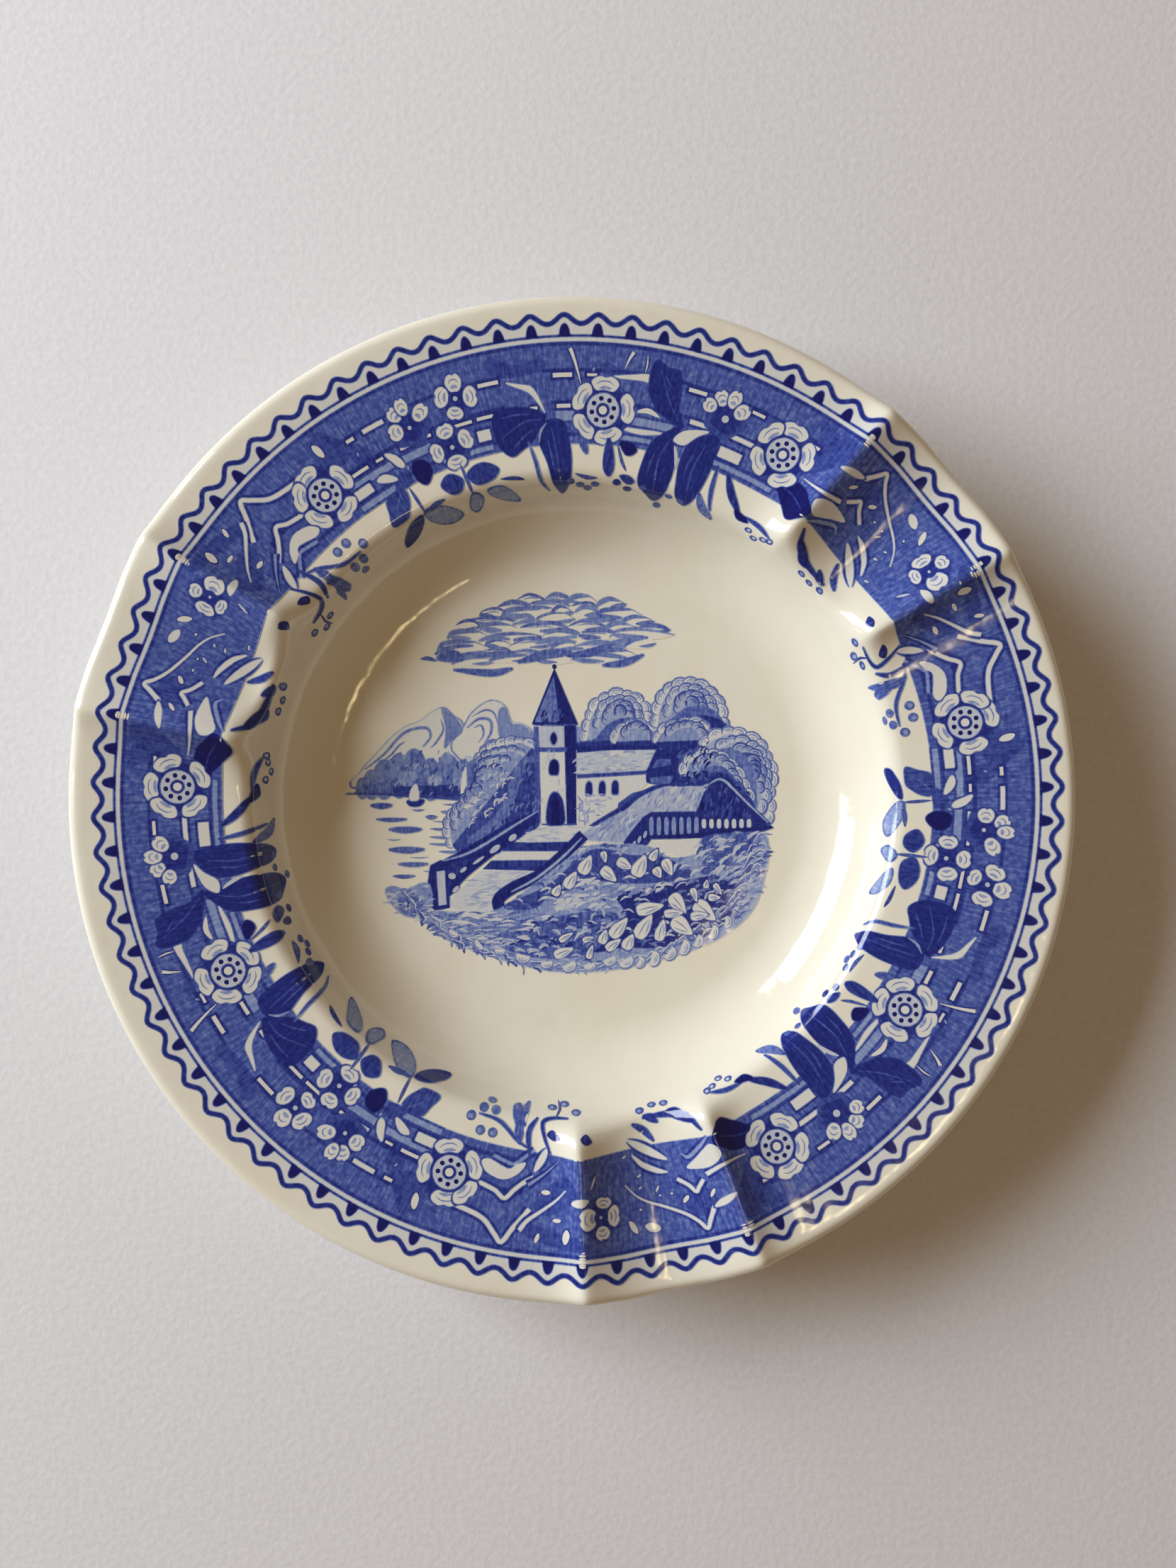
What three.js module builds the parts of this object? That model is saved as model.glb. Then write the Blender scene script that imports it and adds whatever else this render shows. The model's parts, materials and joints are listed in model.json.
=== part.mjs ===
// A small blue and white souvenir plate: a wide rim round a deep flat well, with three smoker's
// rests pressed into the rim. The plate itself is one piece of fired and glazed clay. The blue
// transfer prints are bonded to it: three equal border lengths round the rim and one centre scene.
// Millimetres, +Z up, origin at the centre of the foot's resting plane.
import * as THREE from 'three';
import { mergeVertices } from 'three/addons/utils/BufferGeometryUtils.js';

// Outline of the plate, measured from its axis and from the table.
const EDGE_RADIUS = 74;
const EDGE_ROUND = 1.6; // the rim's edge is a half round, twice this thick
const RIM_SLOPE = 7.7; // degrees that the rim climbs outwards
const RIM_START_RADIUS = 49.6;
const RIM_START_HEIGHT = 17.8;
const SHOULDER_ROUND = 2.8;
const WALL_SLOPE = 72; // degrees of the well's wall
const FLOOR_RADIUS = 35.5;
const FLOOR_HEIGHT = 6.5;
const COVE_ROUND = 12; // the curve from the floor up to the wall
const UNDER_FLOOR_HEIGHT = 1.9;
const FOOT_INNER_RADIUS = 38.6;
const FOOT_OUTER_RADIUS = 42.2;
const FOOT_ROUND = 0.6;

// The three rests: each is a shallow trough between two raised ridges.
const REST_ANGLES = [40, 159, 282]; // degrees from +X: pressed by hand, not quite evenly
const REST_HALF_WIDTH = 9.6; // from the trough's middle to a ridge's crest, at the shoulder
const REST_FLARE = 0.16; // how much wider the rest grows for each mm outwards
const CREST_AT_EDGE = 2.0; // height of a ridge over the rim
const CREST_AT_SHOULDER = 3.4;
const TROUGH_DEPTH = 1.0;
const CREST_ROUND = 0.9; // softness of a ridge's top
const RIDGE_FALL = 2.6; // distance in which a ridge's outer side loses most of its height
const REST_FADE_START = 46; // the rests fade out between these radii, down the well's wall
const REST_FADE_END = 51;
const EDGE_PULL = 0.25; // how far a raised edge is drawn in, for each mm that it is raised

// The transfer prints.
const PRINT_THICKNESS = 0.1;
const PRINT_GAP = 0.02; // keeps a print clear of the clay that it is bonded to
const BORDER_LENGTHS = 3;
const CENTRE_PRINT_RADIUS = 35.2;

// How finely the curves are divided.
const SEGMENTS = 126; // round the plate: a multiple of 3 for the rests and the border lengths
const CROWDING = 0.17; // draws the divisions towards the rests
const CENTRE_PRINT_SEGMENTS = 48;

const GLAZE = new THREE.MeshStandardMaterial({ color: 0xe9e3cf, roughness: 0.12, metalness: 0 });
const BORDER_INK = new THREE.MeshStandardMaterial({ color: 0x4a5fae, roughness: 0.15, metalness: 0 });
const CENTRE_INK = new THREE.MeshStandardMaterial({ color: 0x8a9bc4, roughness: 0.15, metalness: 0 });

const radians = THREE.MathUtils.degToRad;

// Points of a circular arc from one angle to another, both in degrees, both ends included.
function arc(centreRadius, centreHeight, round, from, to, steps) {
  const points = [];
  for (let i = 0; i <= steps; i++) {
    const angle = radians(from + ((to - from) * i) / steps);
    points.push(new THREE.Vector2(
      centreRadius + round * Math.cos(angle),
      centreHeight + round * Math.sin(angle)
    ));
  }
  return points;
}

// Evenly spaced points strictly between two others.
function between(start, end, count) {
  const points = [];
  for (let i = 1; i <= count; i++) {
    points.push(start.clone().lerp(end, i / (count + 1)));
  }
  return points;
}

// The plate's section: under the floor, round the foot, out under the rim, round the edge and
// back over the rim, down the wall and along the floor to the axis.
function plateSection() {
  const slope = radians(RIM_SLOPE);
  const rimStart = new THREE.Vector2(RIM_START_RADIUS, RIM_START_HEIGHT);
  const edgeCentreRadius = EDGE_RADIUS - EDGE_ROUND;
  const edgeCentreHeight =
    RIM_START_HEIGHT + (edgeCentreRadius - RIM_START_RADIUS) * Math.tan(slope) - EDGE_ROUND;
  const edge = arc(edgeCentreRadius, edgeCentreHeight, EDGE_ROUND, RIM_SLOPE - 90, RIM_SLOPE + 90, 6);
  const shoulder = arc(
    RIM_START_RADIUS + SHOULDER_ROUND * Math.sin(slope),
    RIM_START_HEIGHT - SHOULDER_ROUND * Math.cos(slope),
    SHOULDER_ROUND, RIM_SLOPE + 90, WALL_SLOPE + 90, 4
  );
  const cove = arc(
    FLOOR_RADIUS, FLOOR_HEIGHT + COVE_ROUND, COVE_ROUND, WALL_SLOPE - 90, -90, 5
  );
  const foot = [
    new THREE.Vector2(0, UNDER_FLOOR_HEIGHT),
    new THREE.Vector2(FOOT_INNER_RADIUS - 2 * FOOT_ROUND, UNDER_FLOOR_HEIGHT),
    new THREE.Vector2(FOOT_INNER_RADIUS - FOOT_ROUND, FOOT_ROUND),
    new THREE.Vector2(FOOT_INNER_RADIUS, 0),
    new THREE.Vector2(FOOT_OUTER_RADIUS, 0),
    new THREE.Vector2(FOOT_OUTER_RADIUS + FOOT_ROUND, FOOT_ROUND),
  ];
  const underWell = [
    new THREE.Vector2(FOOT_OUTER_RADIUS + 2 * FOOT_ROUND, 2.2),
    new THREE.Vector2(47.5, 5.6),
    new THREE.Vector2(50.8, 10.6),
    new THREE.Vector2(52.6, 13.2),
    new THREE.Vector2(55.4, 15.2),
  ];
  const underRim = between(underWell.at(-1), edge[0], 3);
  const rim = between(edge.at(-1), rimStart, 4);
  const floorCentre = new THREE.Vector2(0, FLOOR_HEIGHT);
  const section = [...foot, ...underWell, ...underRim, ...edge, ...rim, ...shoulder, ...cove];
  return {
    points: [...section, floorCentre],
    borderFrom: section.indexOf(rim[0]),
    borderTo: section.indexOf(cove[1]),
  };
}

// Height that the three rests add to the rim at a point.
function restLift(x, y) {
  const radius = Math.hypot(x, y);
  const fade = THREE.MathUtils.smoothstep(radius, REST_FADE_START, REST_FADE_END);
  let lift = 0;
  for (const angle of REST_ANGLES.map(radians)) {
    const along = x * Math.cos(angle) + y * Math.sin(angle);
    const across = Math.abs(y * Math.cos(angle) - x * Math.sin(angle));
    if (along <= 0) continue;
    const halfWidth = REST_HALF_WIDTH + REST_FLARE * (along - RIM_START_RADIUS);
    const fromCrest = across - halfWidth;
    const distance = Math.sqrt(fromCrest ** 2 + CREST_ROUND ** 2) - CREST_ROUND;
    const outwards = (along - RIM_START_RADIUS) / (EDGE_RADIUS - RIM_START_RADIUS);
    const crest = THREE.MathUtils.lerp(CREST_AT_SHOULDER, CREST_AT_EDGE, outwards);
    if (fromCrest > 0) {
      lift += crest * Math.exp(-distance / RIDGE_FALL);
    } else {
      lift += (crest + TROUGH_DEPTH) * (1 - Math.min(distance / halfWidth, 1)) ** 2 - TROUGH_DEPTH;
    }
  }
  return lift * fade;
}

const SECTION = plateSection();

// Angle of a division round the plate: the divisions crowd together at the rests.
function divisionAngle(i) {
  const even = (2 * Math.PI * (i % SEGMENTS)) / SEGMENTS;
  const fromRest = even * REST_ANGLES.length;
  return radians(REST_ANGLES[0]) + even - CROWDING * Math.sin(fromRest);
}

// A point of the plate's surface, by its division round the plate and its place in the section.
function platePoint(i, j) {
  const angle = divisionAngle(i);
  const { x: radius, y: height } = SECTION.points[j];
  const lift = restLift(radius * Math.cos(angle), radius * Math.sin(angle));
  const outwards = THREE.MathUtils.smoothstep(radius, RIM_START_RADIUS, EDGE_RADIUS);
  const drawnIn = radius - EDGE_PULL * Math.max(lift, 0) * outwards;
  return new THREE.Vector3(drawnIn * Math.cos(angle), drawnIn * Math.sin(angle), height + lift);
}

// Direction out of the glaze at the same point.
function plateNormal(i, j) {
  const round = platePoint(i + 1, j).sub(platePoint(i + SEGMENTS - 1, j));
  const inwards = platePoint(i, j + 1).sub(platePoint(i, j - 1));
  return round.cross(inwards).normalize();
}

// Drops the surface details that aren't shape, and joins coincident vertices.
function closed(geometry) {
  geometry.deleteAttribute('normal');
  geometry.deleteAttribute('uv');
  const merged = mergeVertices(geometry);
  merged.computeVertexNormals();
  return merged;
}

function plateBody() {
  const count = SECTION.points.length;
  const geometry = new THREE.LatheGeometry(SECTION.points, SEGMENTS);
  const position = geometry.attributes.position;
  for (let n = 0; n < position.count; n++) {
    const point = platePoint(Math.floor(n / count), n % count);
    position.setXYZ(n, point.x, point.y, point.z);
  }
  return new THREE.Mesh(closed(geometry), GLAZE);
}

// One border length: a box of thin cells bent onto its share of the rim and the well's wall.
function borderPrint(length) {
  const cellsRound = SEGMENTS / BORDER_LENGTHS;
  const cellsDown = SECTION.borderTo - SECTION.borderFrom;
  const geometry = new THREE.BoxGeometry(1, 1, 1, cellsRound, cellsDown, 1);
  const position = geometry.attributes.position;
  const firstDivision = length * cellsRound + cellsRound / 2;
  for (let n = 0; n < position.count; n++) {
    const i = firstDivision + Math.round((position.getX(n) + 0.5) * cellsRound);
    const j = SECTION.borderFrom + Math.round((0.5 - position.getY(n)) * cellsDown);
    const point = platePoint(i, j);
    const height = position.getZ(n) < 0 ? PRINT_GAP + PRINT_THICKNESS : PRINT_GAP;
    point.addScaledVector(plateNormal(i, j), height);
    position.setXYZ(n, point.x, point.y, point.z);
  }
  return new THREE.Mesh(closed(geometry), BORDER_INK);
}

// The centre scene: a thin disc flat on the well's floor.
function centrePrint() {
  const geometry = new THREE.CylinderGeometry(
    CENTRE_PRINT_RADIUS, CENTRE_PRINT_RADIUS, PRINT_THICKNESS, CENTRE_PRINT_SEGMENTS
  );
  geometry.rotateX(Math.PI / 2);
  const mesh = new THREE.Mesh(closed(geometry), CENTRE_INK);
  mesh.position.z = FLOOR_HEIGHT + PRINT_GAP + PRINT_THICKNESS / 2;
  return mesh;
}

function named(name, mesh) {
  mesh.name = name;
  return mesh;
}

const plate = new THREE.Group();
plate.add(named('plate_body', plateBody()));
plate.add(named('centre_print', centrePrint()));
for (let length = 0; length < BORDER_LENGTHS; length++) {
  plate.add(named(`border_print_${length + 1}`, borderPrint(length)));
}

export default plate;
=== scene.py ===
# %% [markdown]
# # A small blue and white souvenir plate
# One piece of glazed clay: a wide rim round a deep flat well, with three smoker's rests pressed
# into the rim. A blue transfer print in three equal lengths covers the rim, and a country scene
# is printed in the well. Everything is worked out in millimetres and turned into metres at the
# end, because a plate maker thinks in millimetres.

# %% The frame and its measures
import json
import math

import bmesh
import bpy
import numpy as np
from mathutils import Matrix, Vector
from mathutils.geometry import delaunay_2d_cdt

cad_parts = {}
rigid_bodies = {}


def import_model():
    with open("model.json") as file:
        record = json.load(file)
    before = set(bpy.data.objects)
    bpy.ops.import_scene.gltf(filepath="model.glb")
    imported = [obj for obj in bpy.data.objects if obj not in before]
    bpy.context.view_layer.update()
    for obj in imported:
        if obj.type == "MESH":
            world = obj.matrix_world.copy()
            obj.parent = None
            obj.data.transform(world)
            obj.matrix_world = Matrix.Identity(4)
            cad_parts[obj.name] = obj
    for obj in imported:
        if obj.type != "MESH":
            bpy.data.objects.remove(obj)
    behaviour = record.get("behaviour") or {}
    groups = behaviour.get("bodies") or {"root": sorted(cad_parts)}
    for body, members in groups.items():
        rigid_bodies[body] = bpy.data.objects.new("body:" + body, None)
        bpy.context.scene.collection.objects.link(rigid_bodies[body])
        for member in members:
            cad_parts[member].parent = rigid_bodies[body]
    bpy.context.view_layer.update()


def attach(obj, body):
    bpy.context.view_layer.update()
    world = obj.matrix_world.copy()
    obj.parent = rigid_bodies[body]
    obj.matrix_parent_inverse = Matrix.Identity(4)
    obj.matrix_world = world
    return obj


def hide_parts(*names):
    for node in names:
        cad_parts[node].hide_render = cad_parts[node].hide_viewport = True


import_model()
MM = 0.001

# %% [markdown]
# ## The shape of the glaze
# The clay and the prints must agree to a few hundredths of a millimetre, so both take their
# height from one set of functions. The section is a straight rim, a small round at the shoulder,
# a steep wall, a wide cove and a flat floor. Each rest adds a shallow trough between two ridges.

# %% Heights of the glazed side
EDGE_RADIUS, EDGE_ROUND = 74.0, 1.6
RIM_RADIUS, RIM_HEIGHT, RIM_SLOPE = 49.6, 17.8, math.radians(7.7)
SHOULDER_ROUND, WALL_SLOPE = 2.8, math.radians(72)
FLOOR_RADIUS, FLOOR_HEIGHT, COVE_ROUND = 35.5, 6.5, 12.0

shoulder_r = RIM_RADIUS + SHOULDER_ROUND * math.sin(RIM_SLOPE)
shoulder_z = RIM_HEIGHT - SHOULDER_ROUND * math.cos(RIM_SLOPE)
wall_top_r = shoulder_r - SHOULDER_ROUND * math.sin(WALL_SLOPE)
wall_top_z = shoulder_z + SHOULDER_ROUND * math.cos(WALL_SLOPE)
wall_foot_r = FLOOR_RADIUS + COVE_ROUND * math.sin(WALL_SLOPE)
wall_foot_z = FLOOR_HEIGHT + COVE_ROUND * (1 - math.cos(WALL_SLOPE))


def glaze_height(r):
    """Height of the glaze at a distance from the axis, before the rests are pressed."""
    shoulder = shoulder_z + np.sqrt(np.maximum(SHOULDER_ROUND**2 - (r - shoulder_r) ** 2, 0))
    wall = wall_foot_z + (r - wall_foot_r) * (wall_top_z - wall_foot_z) / (wall_top_r - wall_foot_r)
    cove_dip = np.sqrt(np.maximum(COVE_ROUND**2 - (r - FLOOR_RADIUS) ** 2, 0))
    cove = FLOOR_HEIGHT + COVE_ROUND - cove_dip
    z = RIM_HEIGHT + (r - RIM_RADIUS) * math.tan(RIM_SLOPE)
    z = np.where(r < RIM_RADIUS, shoulder, z)
    z = np.where(r < wall_top_r, wall, z)
    z = np.where(r < wall_foot_r, cove, z)
    return np.where(r < FLOOR_RADIUS, FLOOR_HEIGHT, z)


def smooth(x, start, end):
    """0 before the start, 1 after the end and an easy curve between."""
    t = np.clip((x - start) / (end - start), 0, 1)
    return t * t * (3 - 2 * t)


print("well:", round(wall_top_z - FLOOR_HEIGHT, 1), "mm deep, floor", 2 * FLOOR_RADIUS, "mm across")

# %% [markdown]
# ## The three rests
# A smoker's rest is a shallow trough between two ridges, pressed into the rim while the clay is
# soft. A Boolean could cut it, but a press bends clay and cuts nothing. So the rests are a height
# added to the round plate: highest on the crests, a little under the rim in the trough, and gone
# before the well's wall. The crests keep a small round, because glaze never leaves a knife edge.

# %% The three pressed rests
REST_ANGLES = (40, 159, 282)
REST_HALF_WIDTH, REST_FLARE = 9.6, 0.16
CREST_AT_SHOULDER, CREST_AT_EDGE, TROUGH_DEPTH = 3.4, 2.0, 1.0
CREST_SOFTNESS, RIDGE_FALL = 0.9, 2.6
REST_FADE_START, REST_FADE_END = 46, 51
EDGE_PULL = 0.25


def rest_lift(x, y):
    """Height that the rests add, with a crest on each side of a shallow trough."""
    lift = np.zeros_like(x)
    for angle in np.radians(REST_ANGLES):
        along = x * np.cos(angle) + y * np.sin(angle)
        across = np.abs(y * np.cos(angle) - x * np.sin(angle))
        half = REST_HALF_WIDTH + REST_FLARE * (along - RIM_RADIUS)
        beyond = across - half
        far = np.sqrt(beyond**2 + CREST_SOFTNESS**2) - CREST_SOFTNESS
        out = (along - RIM_RADIUS) / (EDGE_RADIUS - RIM_RADIUS)
        crest = CREST_AT_SHOULDER + (CREST_AT_EDGE - CREST_AT_SHOULDER) * out
        outer = crest * np.exp(-far / RIDGE_FALL)
        inner = (crest + TROUGH_DEPTH) * (1 - np.minimum(far / half, 1)) ** 2 - TROUGH_DEPTH
        lift += np.where(along > 0, np.where(beyond > 0, outer, inner), 0)
    return lift * smooth(np.hypot(x, y), REST_FADE_START, REST_FADE_END)


def pressed(x, y, z):
    """Lifts points of the round plate by the rests, and draws the raised edge in."""
    r = np.maximum(np.hypot(x, y), 1e-9)
    lift = rest_lift(x, y)
    pull = 1 - EDGE_PULL * np.maximum(lift, 0) * smooth(r, RIM_RADIUS, EDGE_RADIUS) / r
    return np.stack([x * pull, y * pull, z + lift], axis=-1)


def glaze_point(x, y):
    """The spot of the glaze over a place of the plan."""
    return pressed(x, y, glaze_height(np.hypot(x, y)))


def glaze_normal(x, y, step=0.02):
    """Direction straight out of the glaze, from the slopes along x and y."""
    along_x = glaze_point(x + step, y) - glaze_point(x - step, y)
    along_y = glaze_point(x, y + step) - glaze_point(x, y - step)
    normal = np.cross(along_x, along_y)
    return normal / np.linalg.norm(normal, axis=-1, keepdims=True)


rounds = np.linspace(0, 2 * math.pi, 720)
edge_lift = rest_lift(EDGE_RADIUS * np.cos(rounds), EDGE_RADIUS * np.sin(rounds))
print("rests: the rim rises", round(edge_lift.max(), 2), "mm and dips", round(-edge_lift.min(), 2))

# %% [markdown]
# ## The clay body
# A potter's plate is turned, so its section is drawn once and spun. The spin's many steps are
# then drawn towards the rests, whose crests are sharp, and each vertex gets the rests' lift.

# %% Section and spin
SPIN_STEPS = 720
UNDER_FLOOR = 1.9


def arc(r, z, radius, start, end, count):
    """Points of a circular arc of the section, with both ends."""
    t = np.linspace(start, end, count)
    return np.stack([r + radius * np.cos(t), z + radius * np.sin(t)], axis=-1)


def straight(a, b, count):
    """Points between two others, without either end."""
    return np.linspace(a, b, count + 2)[1:-1]


edge_r = EDGE_RADIUS - EDGE_ROUND
edge_z = RIM_HEIGHT + (edge_r - RIM_RADIUS) * math.tan(RIM_SLOPE) - EDGE_ROUND
quarter = math.pi / 2
foot = np.array([[38.0, UNDER_FLOOR], [38.25, 0.9], [38.35, 0.3], [38.6, 0.0], [42.2, 0.0],
                 [42.55, 0.3], [42.8, 0.9]])
under = np.array([[43.4, 2.2], [45.4, 3.6], [47.5, 5.6], [49.3, 8.0], [50.8, 10.6], [51.6, 12.0],
                  [52.6, 13.2], [53.8, 14.3], [55.4, 15.2]])
edge = arc(edge_r, edge_z, EDGE_ROUND, RIM_SLOPE - quarter, RIM_SLOPE + quarter, 13)
section = np.vstack([
    [[0, UNDER_FLOOR]], straight((0, UNDER_FLOOR), foot[0], 3), foot, under,
    straight(under[-1], edge[0], 14), edge,
    straight(edge[-1], (RIM_RADIUS, RIM_HEIGHT), 26),
    arc(shoulder_r, shoulder_z, SHOULDER_ROUND, RIM_SLOPE + quarter, WALL_SLOPE + quarter, 10),
    straight((wall_top_r, wall_top_z), (wall_foot_r, wall_foot_z), 4),
    arc(FLOOR_RADIUS, FLOOR_HEIGHT + COVE_ROUND, COVE_ROUND, WALL_SLOPE - quarter, -quarter, 14),
    straight((FLOOR_RADIUS, FLOOR_HEIGHT), (0, FLOOR_HEIGHT), 3), [[0, FLOOR_HEIGHT]],
])

clay = bmesh.new()
ring = [clay.verts.new((r, 0, z)) for r, z in section]
lines = [clay.edges.new(pair) for pair in zip(ring, ring[1:])]
bmesh.ops.spin(clay, geom=ring + lines, cent=(0, 0, 0), axis=(0, 0, 1), angle=2 * math.pi,
               steps=SPIN_STEPS, use_merge=True)
bmesh.ops.remove_doubles(clay, verts=clay.verts, dist=1e-4)
print("spun:", len(clay.verts), "vertices")

# %% [markdown]
# ## Pressing the rests in
# The spin puts its steps evenly round the plate, but only the rests need them close together. The
# steps are first drawn towards the three rests, and then each vertex is lifted by the rests'
# height. Moving the vertices of a finished spin keeps its faces clean and closed.

# %% Steps drawn towards the rests, and the rests pressed in
even = np.linspace(0, 2 * math.pi, 3601)
from_rest = np.min([np.abs((even - a + math.pi) % (2 * math.pi) - math.pi)
                    for a in np.radians(REST_ANGLES)], axis=0)
EXTRA_STEPS, CROWD_INSIDE, CROWD_OUTSIDE = 1.4, math.radians(13), math.radians(18)
crowding = 1 + EXTRA_STEPS * (1 - smooth(from_rest, CROWD_INSIDE, CROWD_OUTSIDE))
turned = np.concatenate([[0], np.cumsum((crowding[1:] + crowding[:-1]) / 2)])
turned *= 2 * math.pi / turned[-1]

spots = np.array([v.co for v in clay.verts])
angles = np.arctan2(spots[:, 1], spots[:, 0]) % (2 * math.pi)
angles = np.interp(angles, turned, even)
radii = np.hypot(spots[:, 0], spots[:, 1])
spots = pressed(radii * np.cos(angles), radii * np.sin(angles), spots[:, 2]) * MM
for vertex, spot in zip(clay.verts, spots):
    vertex.co = spot
bmesh.ops.recalc_face_normals(clay, faces=clay.faces)


def piece(name, mesh, node):
    """A finished piece of the plate, in the place of its CAD node."""
    made = bpy.data.objects.new(name, mesh)
    bpy.context.collection.objects.link(made)
    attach(made, "root")
    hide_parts(node)
    return made


clay_mesh = bpy.data.meshes.new("clay_body")
clay.to_mesh(clay_mesh)
clay.free()
clay_mesh.shade_smooth()
piece("clay_body", clay_mesh, "plate_body")
print("clay body:", len(clay_mesh.polygons), "faces")

# %% [markdown]
# ## Drawing the transfers
# A transfer is engraved flat and pulled onto the clay as a thin sheet. It is drawn the same way
# here: shapes are laid over each other on a flat page in the order of painting, each with an
# ink between 0 for bare glaze and 1 for the deepest blue. One Delaunay cut then turns the page
# into triangles, each of which takes the ink of the topmost shape that covers it.

# %% Inks and lines
BARE, PALE, WASH, MID, DARK, NAVY = 0.045, 0.13, 0.32, 0.6, 0.84, 1.0


def curve(points, steps=5, closed=False):
    """A smooth line through the points."""
    p = np.asarray(points, float)
    if closed:
        p = np.vstack([p[-1], p, p[:2]])
    else:
        p = np.vstack([2 * p[0] - p[1], p, 2 * p[-1] - p[-2]])
    t = np.linspace(0, 1, steps, endpoint=False)[:, None]
    parts = [b + t / 2 * (c - a + t * (2 * a - 5 * b + 4 * c - d + t * (3 * b - a - 3 * c + d)))
             for a, b, c, d in zip(p, p[1:], p[2:], p[3:])]
    return np.vstack(parts) if closed else np.vstack(parts + [p[-2:-1]])


def brush(points, width, tip="round"):
    """Outline of a brush stroke along a line: round ended, pointed, or thinning to its end."""
    p = np.asarray(points, float)
    way = np.gradient(p, axis=0)
    way /= np.maximum(np.hypot(way[:, :1], way[:, 1:]), 1e-9)
    side = np.stack([-way[:, 1], way[:, 0]], axis=-1)
    t = np.linspace(0, 1, len(p))
    shape = {"round": np.ones_like(t), "both": np.sin(math.pi * (0.04 + 0.92 * t)) ** 0.7,
             "end": np.clip(1 - t, 0.08, 1) ** 0.6, "start": np.clip(t, 0.08, 1) ** 0.6}[tip]
    half = side * (shape * width / 2)[:, None]
    return np.vstack([p + half, (p - half)[::-1]])


class Page:
    """A flat page of shapes in the order of painting. A place turns local points to the page."""

    def __init__(self):
        self.shapes = []

    def fill(self, points, ink):
        """A shape as given."""
        self.shapes.append((np.asarray(points, float), ink))

    def blob(self, points, ink, place=None, steps=5):
        """A closed smooth shape."""
        outline = curve(points, steps, closed=True)
        self.fill(place(outline) if place else outline, ink)

    def line(self, points, width, ink, place=None, tip="round", steps=5, bend=True):
        """A brush stroke along a smooth line, or straight from point to point."""
        track = curve(points, steps) if bend else np.asarray(points, float)
        self.fill(brush(place(track) if place else track, width, tip), ink)

    def outlined(self, points, ink, edge_ink, edge, place=None, steps=5):
        """A closed shape with an engraved line round it."""
        outline = curve(points, steps, closed=True)
        outline = place(outline) if place else outline
        centre = outline.mean(axis=0)
        size = np.abs(outline - centre).max()
        self.fill(centre + (outline - centre) * (1 + edge / max(size, 0.2)), edge_ink)
        self.fill(outline, ink)


def place_at(origin, turn=0.0, scale=1.0):
    """Local millimetres to a spot of the page, turned by degrees."""
    c, s = math.cos(math.radians(turn)), math.sin(math.radians(turn))
    spin = np.array([[c, s], [-s, c]]) * scale
    return lambda p: np.asarray(p, float) @ spin + np.asarray(origin, float)


def oval(rx, ry, count=14):
    """Points of an oval about the middle."""
    t = np.linspace(0, 2 * math.pi, count, endpoint=False)
    return np.stack([rx * np.cos(t), ry * np.sin(t)], axis=-1)


print("inks:", BARE, PALE, WASH, MID, DARK, NAVY)

# %% [markdown]
# ## The border
# The border is drawn once and used three times. Its page is the rim and the well's wall rolled
# out flat: a point is an angle in degrees and a distance in millimetres that starts as the
# radius of the rim and goes on in a straight line down the wall. One repeat fills PERIOD
# degrees of the page. The motifs are common garden ones: rosettes, small flowers, leaves,
# berries and short dashes, with a pointed arch over each rest.

# %% The rolled-out page
PERIOD = 122.1  # degrees of the page that one repeat fills
SEAM = 220.1  # where one length meets the next
border = Page()


def strip(points):
    """Angle in degrees and distance in mm to the page. Angles fall towards the right."""
    p = np.asarray(points, float)
    a = np.radians(p[:, 0])
    return np.stack([p[:, 1] * np.cos(a), p[:, 1] * np.sin(a)], axis=-1)


def spot(a, q, turn=0.0, scale=1.0):
    """Local millimetres, x to the right and y outwards, about a place of the border."""
    return place_at(strip([(a, q)])[0], a - 90 + turn, scale)


def sweep(a0, a1, q, step=1.0):
    """Border places from one angle to another, at one distance."""
    count = max(2, int(abs(a1 - a0) / step) + 1)
    return np.stack([np.linspace(a0, a1, count), np.full(count, q)], axis=-1)


def band(a0, a1, q0, q1, ink):
    """A stretch of a ring, between two distances."""
    border.fill(strip(np.vstack([sweep(a0, a1, q0), sweep(a1, a0, q1)])), ink)


def rail(a0, a1, q, width, ink=BARE, shade=DARK):
    """A pale dash with its engraved shadow line."""
    border.line([(0.3 + a0, q), ((a0 + a1) / 2, q), (a1 - 0.3, q)], width + 0.7, shade, strip)
    border.line([(a0, q), ((a0 + a1) / 2, q), (a1, q)], width, ink, strip)


print("a repeat is", round(math.radians(PERIOD) * RIM_RADIUS), "mm long at the shoulder")


# %% [markdown]
# ## The motifs of the border
# An engraver repeats a few motifs, so each motif is a function that lays its shapes at a place of
# the page: a dark shape first, and a paler one on it, which leaves a dark line all round. An
# image texture could hold all this, but drawn shapes stay sharp from close by and need no picture
# file.

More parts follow.
